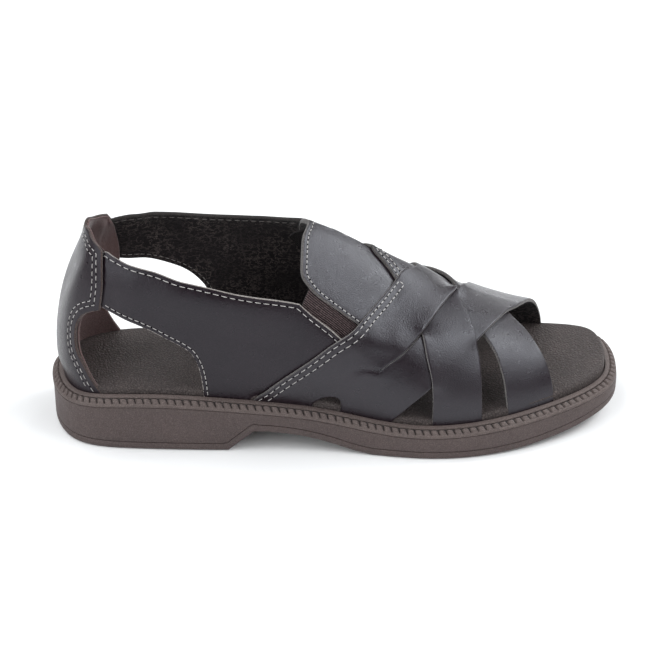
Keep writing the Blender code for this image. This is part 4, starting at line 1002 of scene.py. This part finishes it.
class Stitches:
    """All the seams of one thread, gathered into one mesh."""

    def __init__(self):
        self.verts, self.faces, self.kinds, self.count = [], [], [], 0
        self.rng = np.random.default_rng(7)

    def _tube(self, centres, axes_u, axes_n, radii, kind):
        k, base = 8, self.count
        a = np.linspace(0, 2 * math.pi, k, endpoint=False)
        for c, u, n, (ru, rn) in zip(centres, axes_u, axes_n, radii):
            self.verts.append(c + np.outer(np.cos(a) * ru, u) + np.outer(np.sin(a) * rn, n))
        m = len(centres)
        for i in range(m - 1):
            for j in range(k):
                self.faces.append([base + i * k + j, base + i * k + (j + 1) % k,
                                   base + (i + 1) * k + (j + 1) % k, base + (i + 1) * k + j])
                self.kinds.append(kind)
        self.faces.append([base + j for j in range(k)][::-1])
        self.faces.append([base + (m - 1) * k + j for j in range(k)])
        self.kinds += [kind, kind]
        self.count += m * k

    def sew(self, line, height, inner=None, holes=True, start=0.0, pitch=3.2, stitch=2.3, thick=THREAD):
        """Stitches along sheet points; height gives the leather's surface there, and inner its flesh side."""
        line = dense(line, 0.6)
        p, n, _, _, _ = surface(line)
        keep = np.concatenate([[True], np.linalg.norm(np.diff(p, axis=0), axis=1) > 1e-4])
        line, p, n = line[keep], p[keep], n[keep]
        s = np.concatenate([[0], np.cumsum(np.linalg.norm(np.diff(p, axis=0), axis=1))])
        count = int((s[-1] - start) / pitch)
        if count < 1:
            return
        stitch = stitch * (s[-1] - start) / count / pitch
        pitch = (s[-1] - start) / count
        h = height(line)
        outer = p + n * h[:, None]
        at = lambda arr, x: np.stack([np.interp(x, s, arr[:, i]) for i in range(3)], -1)
        faces = [(outer, 1.0)]
        if inner:
            faces.append((p + n * (h - inner)[:, None], -1.0))
        for surf, sign in faces:
            for i in range(count):
                mid = start + (i + 0.5) * pitch
                half = stitch / 2 * (1 + self.rng.uniform(-0.05, 0.05))
                skew = self.rng.uniform(-0.03, 0.03)
                x = mid + np.array([-1.0, -0.86, -0.5, 0.0, 0.5, 0.86, 1.0]) * half
                c, nn = at(surf, x), at(n, x) * sign
                nn /= np.linalg.norm(nn, axis=1)[:, None]
                t = c[-1] - c[0]
                t /= np.linalg.norm(t)
                u = np.cross(nn, t)
                u /= np.linalg.norm(u, axis=1)[:, None]
                up = np.array([-0.30, 0.03, 0.15, 0.19, 0.15, 0.03, -0.30])
                c = c + nn * up[:, None] + u * (np.linspace(-1, 1, 7) * half * skew)[:, None]
                r = thick * np.array([0.45, 0.78, 0.98, 1.0, 0.98, 0.78, 0.45])
                # Flesh-side stitches take the darker thread: painted shade.
                self._tube(c, u, nn, [(v, v * 0.85) for v in r], 0 if sign > 0 else 2)
                # A near-black cap at each gap between stitches: painted shade.
                if holes and sign > 0 and i + 1 < count:
                    y = start + (i + 1) * pitch
                    c = at(surf, np.array([y]))[0]
                    k = at(n, np.array([y]))[0]
                    u1 = np.cross(k, t)
                    u1 /= np.linalg.norm(u1)
                    t1 = np.cross(u1, k)
                    self._tube([c - k * 0.15, c + k * 0.15, c + k * 0.185], [u1] * 3, [t1] * 3,
                               [(2.0 * thick, 2.0 * thick), (1.9 * thick, 1.9 * thick), (0.8 * thick, 0.8 * thick)], 1)

    def build(self, name):
        return finish_piece(name, np.concatenate(self.verts), self.faces, self.kinds, [thread_mat, hole_painted_shade_mat, flesh_thread_painted_shade_mat],
                            60)


seams = Stitches()

# ---- the four straps --------------------------------------------------------
THICK = 1.9               # leather of the straps
OVER = 2.0                # least height of one strap above the one it crosses

wing_lateral = Sheet(wing_outline(L, M, A_LATERAL_REAR, A_LATERAL_FRONT, C_LATERAL_REAR, C_LATERAL_FRONT, 0.840))
wing_medial = Sheet(wing_outline(M, L, A_MEDIAL_REAR, A_MEDIAL_FRONT, C_MEDIAL_REAR, C_MEDIAL_FRONT, 0.812))
finger = {
    "A1": finger_a(L, M, A_LATERAL_REAR, A_LATERAL_FRONT),
    "C1": finger_c(L, M, C_LATERAL_REAR, C_LATERAL_FRONT, 0.840),
    "A2": finger_a(M, L, A_MEDIAL_REAR, A_MEDIAL_FRONT),
    "C2": finger_c(M, L, C_MEDIAL_REAR, C_MEDIAL_FRONT, 0.812),
}
owner = {"A1": wing_lateral, "C1": wing_lateral, "A2": wing_medial, "C2": wing_medial}
label = {k: inside(finger[k], owner[k].q) for k in finger}
CROSSINGS = [("A1", "A2"), ("A2", "C1"), ("C1", "C2"), ("C2", "A1")]     # upper, lower


def share_out(top, low):
    """For each crossing: points of one strap over the other, with weights on the other strap's points."""
    a, b = owner[top], owner[low]
    mine = np.nonzero(label[top] & inside(finger[low], a.q))[0]
    theirs = np.nonzero(label[low])[0]
    kd = tree(b.q[theirs])
    idx, w = [], []
    for i in mine:
        near = kd.find_n((a.q[i][0], a.q[i][1], 0.0), 3)
        idx.append([theirs[k] for _, k, _ in near])
        w.append([1 / (d + 0.05) for _, _, d in near])
    idx, w = np.array(idx), np.array(w)
    return mine, idx, w / w.sum(1)[:, None]


def rear_distance(sheet, rows):
    return distance(sheet.p, place(dense(edge(rows), 0.4)))


def raised(sheet, line, height, width, label_of=None):
    """Soft ridge (or trough, for a negative height) along a line of the last."""
    d = distance(sheet.p, place(dense(edge(line) if len(line) > 2 else to_sheet(line), 0.4)))
    h = height * np.exp(-(d / width) ** 2)
    return h if label_of is None else h * label[label_of]


home = {}
for sheet, rear in ((wing_lateral, A_LATERAL_REAR[:9]), (wing_medial, A_MEDIAL_REAR[:8])):
    d = rear_distance(sheet, rear)
    own = sheet.lateral if sheet is wing_lateral else ~sheet.lateral
    home[id(sheet)] = (1.9 * (1 - smooth_step(9, 20, d)) * (1 - smooth_step(0.38, 0.50, sheet.rise))
                       * smooth_step(-0.02, 0.06, sheet.rise) * own)
# The front strap of the outer wing arches well clear of the strap under it.
home[id(wing_lateral)] += 1.9 * label["C1"] * smooth_step(0.50, 0.88, np.where(wing_lateral.lateral, wing_lateral.rise, 1.0)) \
    * smooth_step(0.35, 0.80, np.where(wing_lateral.lateral, 1.0, wing_lateral.rise))
for sheet in (wing_lateral, wing_medial):
    sheet.lift = home[id(sheet)].copy()

pairs = [(owner[t], owner[b]) + share_out(t, b) + share_out(b, t) for t, b in CROSSINGS]
weight = {id(s): 0.5 * smooth_step(-0.02, 0.06, s.rise) for s in (wing_lateral, wing_medial)}
for k in range(260):
    for s in (wing_lateral, wing_medial):
        w = weight[id(s)]
        s.lift += w * (s.mean(s.lift) - s.lift) + 0.012 * (home[id(s)] - s.lift)
        s.lift *= smooth_step(-0.03, 0.0, s.rise)
    for a, b, ia, ja, wa, ib, jb, wb in pairs:
        short = OVER - (a.lift[ia] - (b.lift[ja] * wa).sum(1))
        a.lift[ia] += 0.5 * np.maximum(short, 0)
        short = OVER - ((a.lift[jb] * wb).sum(1) - b.lift[ib])
        b.lift[ib] -= 0.5 * np.maximum(short, 0)

for s in (wing_lateral, wing_medial):
    for k in range(10):
        s.lift += 0.5 * smooth_step(-0.02, 0.06, s.rise) * (s.mean(s.lift) - s.lift)

# The inner wing's front strap stands up off the weave along its rear edge, over the crest.
wing_medial.lift += raised(wing_medial, [(M, 0.602, 0.740), (M, 0.612, 0.830), (M, 0.623, 0.930)], 0.9, 7.0, "C2")
# The outer wing's rear strap lies full and even: hollows in it are filled wherever nothing lies over it.
clear = label["A1"].astype(float)
for t, b in CROSSINGS:
    if b == "A1":
        d = distance(wing_lateral.p, place(dense(finger[t], 1.0, True)))
        clear *= smooth_step(2.0, 8.0, np.where(inside(finger[t], wing_lateral.q), 0.0, d))
for k in range(90):
    wing_lateral.lift += 0.6 * clear * np.maximum(wing_lateral.mean(wing_lateral.lift) - wing_lateral.lift, 0)
# Creases pressed in by use: a roll above the slit's end, a trough under it and a fine crease from the slit's end.
wing_lateral.lift += (raised(wing_lateral, [(L, 0.488, 0.470), (L, 0.511, 0.482), (L, 0.532, 0.491), (L, 0.552, 0.525)],
                             1.0, 7.5)
                      + raised(wing_lateral, [(L, 0.509, 0.432), (L, 0.522, 0.405), (L, 0.541, 0.402), (L, 0.556, 0.430)],
                               -0.35, 3.5)
                      + raised(wing_lateral, [(L, 0.531, 0.291), (L, 0.516, 0.277), (L, 0.501, 0.247), (L, 0.489, 0.193),
                                              (L, 0.480, 0.163)], -0.45, 1.4)
                      + raised(wing_lateral, [(L, 0.540, 0.275), (L, 0.516, 0.245), (L, 0.505, 0.200)], 0.35, 4.0))


def dip(sheet):
    """The top of the instep sits a little lower where the straps start."""
    centre = place(to_sheet([(M, 0.520, 0.930)]))[0]
    return -1.3 * np.exp(-(np.linalg.norm(sheet.p - centre, axis=1) / 17.0) ** 2)


wing_lateral.lift += dip(wing_lateral)
wing_medial.lift += dip(wing_medial)

# ---- quarters, panel and heel -----------------------------------------------


def tuck_under(sheet, lift, *covers):
    """Lower a sheet wherever a strap lies over it."""
    for cover, names in covers:
        under = np.zeros(len(sheet.q), bool)
        for name in names:
            under |= inside(finger[name], sheet.q)
        if under.any():
            limit = cover.height(sheet.q[under]) - OVER
            lift[under] = np.minimum(lift[under], limit)
    for _ in range(6):
        lift = np.minimum(lift, sheet.mean(lift))
    return lift


sheet_ql = Sheet(quarter_lateral)
sheet_ql.lift = tuck_under(sheet_ql, -heel_depth(True, sheet_ql.share, sheet_ql.rise), (wing_lateral, ["A1"]))
sheet_qm = Sheet(quarter_medial)
sheet_qm.lift = tuck_under(sheet_qm, -heel_depth(False, sheet_qm.share, sheet_qm.rise), (wing_medial, ["A2"]))
sheet_panel = Sheet(panel_outline)
sheet_panel.lift = tuck_under(sheet_panel, -2.0 + dip(sheet_panel), (wing_lateral, ["A1"]),
                              (wing_medial, ["A2"]))
sheet_heel = Sheet(heel_outline, spacing=2.2)
sheet_heel.lift = 1.4 * smooth_step(0.0, 0.12, sheet_heel.rise) * (1 - smooth_step(0.38, 0.60, sheet_heel.rise)) \
    * (1 - smooth_step(0.05, 0.11, sheet_heel.share))
sheet_lining = Sheet(heel_outline, spacing=2.2)


def lining_depth(sheet):
    """Deeper where the ends of the quarters pass between the counter and the lining."""
    lat = smooth_step(0.050, 0.088, sheet.share) * (1 - smooth_step(0.650, 0.672, sheet.rise))
    med = smooth_step(0.062, 0.100, sheet.share) * (1 - smooth_step(0.640, 0.662, sheet.rise))
    return -(COUNTER + 0.08) - (LEATHER + CURVED_GAP) * np.where(sheet.lateral, lat, med) * smooth_step(0.335, 0.385, sheet.rise)


sheet_lining.lift = lining_depth(sheet_lining)
for share, low, high, depth in ((0.112, 0.30, 0.60, -0.8), (0.132, 0.25, 0.58, -0.9), (0.150, 0.32, 0.56, -0.7)):
    fold = [(M, share - 0.004, low), (M, share, (low + high) / 2), (M, share - 0.006, high)]
    sheet_lining.lift += raised(sheet_lining, fold, depth, 1.5)

# ---- seams ------------------------------------------------------------------
ql_edges = [edge(QUARTER_TOP_LATERAL)[4:], edge(QUARTER_GORE_LATERAL)]
ql_cut = [edge(QUARTER_CUT_LATERAL)[:-6]]
qm_edges = [edge(QUARTER_TOP_MEDIAL)[5:]]
qm_cut = [edge(QUARTER_CUT_MEDIAL)[:-6]]
rim = edge(TOP_RIM)
half = int(np.argmin(np.abs(rim[:, 0] - to_sheet([(L, 0.0, 0.693)])[0, 0])))
heel_lateral = [rim[half:], edge(COUNTER_FRONT_LATERAL), edge(COUNTER_CUT_LATERAL)]
heel_medial = [edge(COUNTER_CUT_MEDIAL), edge(COUNTER_FRONT_MEDIAL), rim[:half]]
PITCH = {"ql_top": (4.1, 3.1), "qm_top": (4.1, 3.1), "ql_cut": (3.2, 2.4), "qm_cut": (3.2, 2.4),
         "heel_1": (3.7, 2.5), "heel_2": (3.7, 2.5), "heel_3": (3.7, 2.5), "heel_4": (3.7, 2.5),
         "al_1": (4.05, 2.9), "al_2": (4.05, 2.9), "am_1": (4.05, 2.9), "am_2": (4.05, 2.9)}
seam_lines = {
    "ql_top": seam_line(sheet_ql, ql_edges, 2.4),
    "ql_cut": seam_line(sheet_ql, ql_cut, 2.2),
    "qm_top": seam_line(sheet_qm, qm_edges, 2.4),
    "qm_cut": seam_line(sheet_qm, qm_cut, 2.2),
    "panel": seam_line(sheet_panel, [edge(PANEL_REAR), edge(PANEL_GORE_LATERAL)], [(2.7, 2.5), (2.3, 1.2)]),
    "panel_m": seam_line(sheet_panel, [edge(PANEL_GORE_MEDIAL)], 2.7),
    "al_1": seam_line(wing_lateral, [edge(A_LATERAL_REAR[:10])], 1.75),
    "al_2": seam_line(wing_lateral, [edge(A_LATERAL_REAR[:10])], 4.85),
    "am_1": seam_line(wing_medial, [edge(A_MEDIAL_REAR[:15])], 1.75),
    "am_2": seam_line(wing_medial, [edge(A_MEDIAL_REAR[:15])], 4.85),
    "heel_1": seam_line(sheet_heel, heel_lateral, 3.3),
    "heel_2": seam_line(sheet_heel, heel_lateral, 5.7),
    "heel_3": seam_line(sheet_heel, heel_medial, 3.3),
    "heel_4": seam_line(sheet_heel, heel_medial, 5.7),
}


seam_lines["al_turn"] = np.stack([seam_lines["al_1"][-1], seam_lines["al_2"][-1]])
# The strap's two rows are sewn closer where the strap lies on the instep panel.
for name in ("al_1", "al_2", "am_1", "am_2"):
    line = dense(seam_lines[name], 0.6)
    at = int(0.66 * len(line))
    seam_lines[name], seam_lines[name + "_top"] = line[:at], line[at:]


def groove(*names, depth=0.22, width=0.7):
    return [(dense(place(seam_lines[n]), 0.4), depth, width) for n in names]


def sew(sheet, name, inner=None):
    line = seam_lines[name]
    lift = sheet.lift
    pitch, stitch = PITCH.get(name, (2.75, 1.95))
    seams.sew(line, lambda q: sheet.height(q) - 0.14, inner, pitch=pitch, stitch=stitch,
              thick=THREAD if name in PITCH else 0.225)


for sheet, names, inner in ((sheet_ql, ("ql_top", "ql_cut"), 1.9), (sheet_qm, ("qm_top", "qm_cut"), 1.9),
                            (sheet_panel, ("panel", "panel_m"), None), (wing_lateral, ("al_1", "al_2", "al_1_top", "al_2_top", "al_turn"), None),
                            (wing_medial, ("am_1", "am_2", "am_1_top", "am_2_top"), None),
                            (sheet_heel, ("heel_1", "heel_2", "heel_3", "heel_4"), None)):
    for name in names:
        sew(sheet, name, inner)

counter = leather_piece("heel_counter_leather", sheet_heel, COUNTER, COUNTER_SET, 0.6, 0.2,
                        grooves=groove("heel_1", "heel_2", "heel_3", "heel_4"))
# Along the top edge the band of light edge material is widened: a painted highlight on the quarter's top edge.
top_edge = distance(sheet_ql.p, place(dense(np.concatenate([edge(QUARTER_TOP_LATERAL), edge(QUARTER_GORE_LATERAL)]), 0.4)))
quarter_l = leather_piece("quarter_lateral_leather", sheet_ql, 2.1, LEATHER_SET, rim=np.where(top_edge < 2.0, 0.95, 0.5),
                          grooves=groove("ql_top", "ql_cut") + [(dense(place(shifted(f, turn_in(f), -0.35)), 0.4), 0.7, 0.45)
                                                                for f in [edge(COUNTER_FRONT_LATERAL)]])
quarter_m = leather_piece("quarter_medial_leather", sheet_qm, 2.1, INNER_SET,
                          grooves=groove("qm_top", "qm_cut"))
panel_piece = leather_piece("instep_panel_leather", sheet_panel, 2.5, PANEL_SET, grooves=groove("panel", "panel_m"))
strap_l = leather_piece("straps_lateral", wing_lateral, THICK, STRAP_SET, rim=0.38, grooves=groove("al_1", "al_2", "al_1_top", "al_2_top"))
strap_m = leather_piece("straps_medial", wing_medial, THICK, STRAP_SET, rim=0.38, grooves=groove("am_1", "am_2", "am_1_top", "am_2_top"))
lining = leather_piece("heel_lining", sheet_lining, 1.0, [textile_mat, textile_mat, textile_mat], 0.3, 0.4)
stitching = seams.build("stitching")
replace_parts(counter, "heel_counter")
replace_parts(quarter_l, "upper")
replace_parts(quarter_m, "upper")
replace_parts(strap_l, "upper")
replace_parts(strap_m, "upper")
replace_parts(lining, "upper")
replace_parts(panel_piece, "instep_panel")

# ---- elastic gores ----------------------------------------------------------
GORE_TOP = -(LEATHER + PANEL + 2 * CURVED_GAP)
RIB = 1.15                # pitch of the elastic's ribs


def gore(name, low, high, node):
    """Ribbed elastic between two edges of the leather, reaching under both."""
    n, m = 64, 120
    side = low[0][0]
    pull = lambda rows: np.array([np.interp(np.linspace(0, 1, n), np.linspace(0, 1, len(rows)), [r[k] for r in rows])
                                  for k in (1, 2)]).T
    a, b = pull(low), pull(high)
    t = np.linspace(0, 1, m)[None, :, None]
    uv = (a[:, None] * (1 - t) + b[:, None] * t).reshape(-1, 2)
    p = last(side, uv[:, 0], uv[:, 1])
    nn = last_normal(side, uv[:, 0], uv[:, 1])
    mid = p.reshape(n, m, 3)[n // 2]
    run = np.concatenate([[0], np.cumsum(np.linalg.norm(np.diff(mid, axis=0), axis=1))])
    ribs = 0.28 * np.cos(2 * math.pi * run / RIB)
    lift = np.tile(ribs, n)
    top = p + nn * (GORE_TOP + lift)[:, None]
    bot = p + nn * (GORE_TOP - ELASTIC + 0.25 - 0.5 * lift)[:, None]
    # Rib valleys, the flesh side and the cut sides take the dark elastic: painted shade.
    faces, kinds = [], []
    at = lambda i, j, k: k * n * m + i * m + j
    for i in range(n - 1):
        for j in range(m - 1):
            faces.append([at(i, j, 0), at(i, j + 1, 0), at(i + 1, j + 1, 0), at(i + 1, j, 0)])
            kinds += [0 if ribs[j] + ribs[j + 1] > -0.12 else 1, 1]
            faces.append([at(i, j, 1), at(i + 1, j, 1), at(i + 1, j + 1, 1), at(i, j + 1, 1)])
    for i in range(n - 1):
        faces.append([at(i, 0, 0), at(i + 1, 0, 0), at(i + 1, 0, 1), at(i, 0, 1)])
        faces.append([at(i, m - 1, 0), at(i, m - 1, 1), at(i + 1, m - 1, 1), at(i + 1, m - 1, 0)])
    for j in range(m - 1):
        faces.append([at(0, j, 0), at(0, j, 1), at(0, j + 1, 1), at(0, j + 1, 0)])
        faces.append([at(n - 1, j, 0), at(n - 1, j + 1, 0), at(n - 1, j + 1, 1), at(n - 1, j, 1)])
    if side == L:
        faces = [f[::-1] for f in faces]
    obj = finish_piece(name, np.concatenate([top, bot]), faces, kinds + [1] * (len(faces) - len(kinds)),
                       [rib_mat, elastic_painted_shade_mat], 75)
    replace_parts(obj, node)


gore("gore_lateral_ribbed", [(L, 0.427, 0.545), (L, 0.450, 0.465), (L, 0.492, 0.352)],
     [(L, 0.435, 0.735), (L, 0.470, 0.660), (L, 0.515, 0.575)], "gore_lateral")
gore("gore_medial_ribbed", [(M, 0.428, 0.620), (M, 0.462, 0.470), (M, 0.497, 0.385)],
     [(M, 0.434, 0.800), (M, 0.478, 0.690), (M, 0.518, 0.620)], "gore_medial")

# ---- sole -------------------------------------------------------------------


def stations(pitch, lines=()):
    s = np.linspace(0, PERIMETER, int(PERIMETER / pitch), endpoint=False)
    for x in lines:
        for lo, hi in ((0, TOE_S), (TOE_S, PERIMETER)):
            span = np.linspace(lo, hi, 8001)[1:-1]
            hit = span[np.argmin(np.abs(outline(span, 0.0)[:, 0] - x))]
            s[np.argmin(np.abs(s - hit))] = hit
    return np.sort(s)


def capped(name, s, rings, low, high, spacing, guides, material, angle=40):
    """Body inside the outline: a wall through rings of points, closed below and above."""
    n = len(s)
    verts, faces = [np.concatenate(rings)], []
    for r in range(len(rings) - 1):
        for i in range(n):
            j = (i + 1) % n
            faces.append([r * n + i, r * n + j, (r + 1) * n + j, (r + 1) * n + i])
    base = len(rings) * n
    for which, (k, height) in enumerate(((0, low), (len(rings) - 1, high))):
        poly = rings[k][:, :2]
        step = spacing[which]
        gx, gy = np.meshgrid(np.arange(3, LENGTH, step), np.arange(-52, 54, step * 0.9))
        gx = gx + (np.arange(gx.shape[0]) % 2)[:, None] * step / 2
        pts = np.stack([gx.ravel(), gy.ravel()], 1)
        if which == 0 and len(guides):
            pts = pts[np.min(np.abs(pts[:, 0][:, None] - np.array(guides)), axis=1) > 0.45 * step]
            pts = np.concatenate([pts, [(g, y) for g in guides for y in np.arange(-50, 52, step)]])
        pts = pts[inside(poly, pts)]
        pts = pts[distance(pts, dense(poly, 0.5, True), True) > 0.5 * step]
        out = delaunay_2d_cdt([Vector(p) for p in poly] + [Vector(p) for p in pts],
                              [(i, (i + 1) % n) for i in range(n)], [], 1, 1e-5)
        lookup, more = [], []
        for v, origins in zip(out[0], out[3]):
            o = min(origins)
            if o < n:
                lookup.append(k * n + o)
            else:
                lookup.append(base)
                more.append([v[0], v[1], 0.0])
                base += 1
        more = np.array(more)
        more[:, 2] = height(more[:, 0], more[:, 1])
        verts.append(more)
        for t in out[2]:
            t = [lookup[i] for i in t]
            faces.append(t if which else t[::-1])
    return finish_piece(name, np.concatenate(verts), faces, [0] * len(faces), [material], angle)


def wall_inset(x):
    return HEEL_LEAN - (HEEL_LEAN + TOE_FLARE) * smooth_step(110, 190, x)


SOLE_STATIONS = stations(0.95, (89.5, 102.5, 162.0, 205.0))
SOLE_TOP = WELT_DEPTH + 0.06
GROOVE = 4.0


def sole_rings():
    s = SOLE_STATIONS
    base = outline(s)
    x = base[:, 0]
    low, high = underside(x), lip_height(x) - SOLE_TOP
    slope = np.gradient(underside(x + 1e-6), x + 1e-6 * np.arange(len(x)))
    g = GROOVE * np.interp(x, [86, 91, 101, 106], [1.0, 1.28, 1.28, 1.0])
    plan = [(0.0, 1.0), (0.12, 0.55), (0.4, 0.22), (0.9, 0.04), (1.6, 0.0)]
    rings = []
    for up, inset in plan:
        rings.append((low + up, inset))
    for up, inset in ((-0.5, 0.0), (-0.24, 0.14), (0.0, 0.62), (0.24, 0.14), (0.5, 0.0)):
        rings.append((low + g + up, inset))
    for t in np.linspace(0.12, 1.0, 9):
        rings.append((low + g + 0.5 + (high - low - g - 0.5) * t, 0.0))
    rings[-1] = (rings[-1][0], 0.35)
    rings[-2] = (high - 0.30, 0.0)
    out = []
    for z, inset in rings:
        xy = outline(s, wall_inset(x) * (z < high - 1.2) + inset + 0.0)
        t = np.clip((z - low) / (high - low), 0, 1)
        xy = outline(s, wall_inset(x) * (1 - smooth_step(0.75, 1.0, t)) + inset)
        out.append(np.concatenate([xy, z[:, None]], 1))
    return out


sole = capped("outsole_rubber", SOLE_STATIONS, sole_rings(), lambda x, y: underside(x),
              lambda x, y: lip_height(x) - SOLE_TOP, (4.0, 14.0),
              (89.5, 102.5, 110.0, 118.0, 126.0, 136.0, 146.0, 154.0, 162.0, 205.0), rubber_mat, 35)
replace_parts(sole, "outsole")

# Welt: ribs pressed across the sloping band all the way round.
WELT_PITCH = 4.0
WELT_LINE = monotone([0.3, 1.4, 3.9, 5.8], [0.02, 0.2, 0.86, 1.0])


def welt_piece():
    count = int(round(PERIMETER / WELT_PITCH))
    per = 14
    n = count * per
    s = np.arange(n) / n * PERIMETER
    phase = np.arange(n) / per
    insets = [0.35, 0.0, -0.03, 0.06, 0.30, 0.7, 1.0, 1.2, 1.45, 1.75, 2.1, 2.45, 2.75, 2.95, 3.12, 3.32, 3.6, 4.5,
              5.5, WELT_WIDTH, WELT_WIDTH]
    depths = [WELT_DEPTH, 1.25, 0.8, 0.3, 0.03] + [0.0] * 15 + [WELT_DEPTH + 2.0]
    verts, gaps = [], {}
    for k, (inset, depth) in enumerate(zip(insets, depths)):
        xy = outline(s, inset)
        x = outline(s)[:, 0]
        part = float(WELT_LINE(max(inset, 0.3))) if k >= 4 else 0.0
        z = lip_height(x) + welt_rise(x) * part - depth
        if 4 < k < 18:
            # Round-topped teeth, set off by a notch at the side and a furrow above.
            band = float(smooth_step(0.85, 1.2, inset) * (1 - smooth_step(3.30, 3.55, inset)))
            ph = np.mod(phase + 0.13 * (inset - 2.4), 1.0)
            d = np.minimum(ph, 1 - ph)
            rounding = 0.10 * float(smooth_step(2.3, 3.1, inset))
            gap = np.maximum(1 - smooth_step(0.07 + rounding, 0.17 + rounding, d),
                             float(smooth_step(2.88, 3.08, inset) * (1 - smooth_step(3.2, 3.5, inset))))
            crown = 1 - 0.55 * (np.abs(ph - 0.5) * 2) ** 2
            h = band * (0.50 * crown * (1 - gap) - 0.70 * gap)
            gaps[k] = gap * band
            out = outline(s, inset - 1.0) - xy
            xy = xy + out * (0.55 * h)[:, None]
            z = z + 0.83 * h
        verts.append(np.concatenate([xy, z[:, None]], 1))
    faces, kinds, k = [], [], len(insets)
    flat = np.zeros(n)
    for r in range(k):
        q = (r + 1) % k
        # Faces deep in the notches and the furrow take the dark rubber: painted shade.
        deep = np.minimum(gaps.get(r, flat), gaps.get(q, flat))
        for i in range(n):
            j = (i + 1) % n
            faces.append([r * n + i, r * n + j, q * n + j, q * n + i])
            kinds.append(1 if min(deep[i], deep[j]) > 0.6 else 0)
    return finish_piece("welt_ribbed", np.concatenate(verts), faces, kinds, [welt_mat, welt_notch_painted_shade_mat], 60)


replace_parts(welt_piece(), "welt")


def insole_piece():
    s = stations(1.3)
    x = outline(s)[:, 0]
    toe = lambda u: 1.0 * smooth_step(215, 250, u)
    top = lip_height(x) + welt_rise(x) + INSOLE_RISE + toe(x)
    rings = []
    r = 1.7
    for inset, z in [(0.0, lip_height(x) - WELT_DEPTH), (0.0, top - 3.0)] + \
            [(r * (1 - math.cos(a)), top - r + r * math.sin(a)) for a in np.linspace(0, math.pi / 2, 7)]:
        rings.append(np.concatenate([outline(s, FEATHER_INSET + 0.25 + inset), z[:, None]], 1))
    high = lambda x, y: lip_height(x) + welt_rise(x) + INSOLE_RISE + toe(x)
    return capped("insole_footbed", s, rings, lambda x, y: lip_height(x) - WELT_DEPTH, high, (12.0, 3.0), (),
                  footbed_mat, 50)


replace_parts(insole_piece(), "insole")

# ---- camera, floor and light ------------------------------------------------
CAMERA = dict(elevation=30.349, azimuth=-2.532, distance=1100.445, focus=(142.592, 0.0, 45.328), scale=1.958)


def camera():
    e, a = math.radians(CAMERA["elevation"]), math.radians(CAMERA["azimuth"])
    back = Vector((math.sin(a) * math.cos(e), -math.cos(a) * math.cos(e), math.sin(e)))
    data = bpy.data.cameras.new("camera")
    data.sensor_width = 36.0
    data.lens = 36.0 * CAMERA["scale"] * CAMERA["distance"] / 660
    data.clip_start = 0.05
    obj = bpy.data.objects.new("camera", data)
    bpy.context.scene.collection.objects.link(obj)
    target = Vector(row([CAMERA["focus"]])[0])
    obj.location = target + back * CAMERA["distance"] * MM
    obj.rotation_euler = (-back).to_track_quat("-Z", "Y").to_euler()
    bpy.context.scene.camera = obj


camera()


def area(name, place_at, look, size, power, colour=(1, 1, 1)):
    data = bpy.data.lights.new(name, "AREA")
    data.shape = "RECTANGLE"
    data.size, data.size_y = size
    data.energy = power
    data.color = colour
    obj = bpy.data.objects.new(name, data)
    obj.location = place_at
    obj.rotation_euler = (Vector(look) - Vector(place_at)).to_track_quat("-Z", "Y").to_euler()
    bpy.context.scene.collection.objects.link(obj)


def softbox(name, azimuth, height, power, size=1.3):
    """Softbox two metres off; azimuth 0 is behind the shoe and 90 off its toe, height in degrees above the floor."""
    a, e = math.radians(azimuth), math.radians(height)
    at = (2.0 * math.sin(a) * math.cos(e), 2.0 * math.cos(a) * math.cos(e), 0.04 + 2.0 * math.sin(e))
    area(name, at, (0.0, 0.0, 0.04), (size, size), power, (0.965, 0.985, 1.0))


softbox("key_toe_high", 110, 52, 11.2, 0.75)
softbox("key_toe", 80, 52, 6.3, 0.75)
softbox("key_back_high", 46, 58, 4.0, 0.6)
softbox("key_back", 62, 33, 11.0, 0.6)
softbox("key_back_low", 22, 16, 8.0, 0.75)
softbox("toe_back", 72, 36, 3.0, 0.9)
softbox("toe_front", 110, 35, 2.2, 1.0)
softbox("front_toe", 138, 36, 10.5, 1.0)
softbox("front_low", 150, 12, 1.3, 0.8)
softbox("front_heel_low", -140, 20, 13.1)
softbox("front_heel", -100, 30, 11.5)
softbox("front_heel_high", -120, 60, 7.5)
softbox("back_heel_high", -60, 60, 16.5)
softbox("back_heel", -20, 28, 7.1)

world = bpy.data.worlds.new("studio")
bpy.context.scene.world = world
world.use_nodes = True
world.node_tree.nodes["Background"].inputs["Color"].default_value = (1.0, 1.0, 1.0, 1.0)
world.node_tree.nodes["Background"].inputs["Strength"].default_value = 0.02


def floor():
    m = Nodes("floor_paper")
    tone = m.noise(3.0, 2, 0.5)
    colour = m.ramp(tone, [(0.3, (0.90, 0.90, 0.90)), (0.7, (0.93, 0.93, 0.93))])
    mat = m.done(colour, 0.9, m.bump(m.noise(400, 2, 0.5), 0.00005, 0.1), 0.1)
    mesh = bpy.data.meshes.new("floor")
    n, r = 24, 3.0
    ring_points = [(r * math.cos(2 * math.pi * i / n), r * math.sin(2 * math.pi * i / n), -0.0002) for i in range(n)]
    mesh.from_pydata(ring_points, [], [tuple(range(n))])
    mesh.materials.append(mat)
    obj = bpy.data.objects.new("floor", mesh)
    bpy.context.scene.collection.objects.link(obj)


floor()
bpy.context.scene.view_settings.view_transform = "Standard"
bpy.context.scene.view_settings.look = "None"
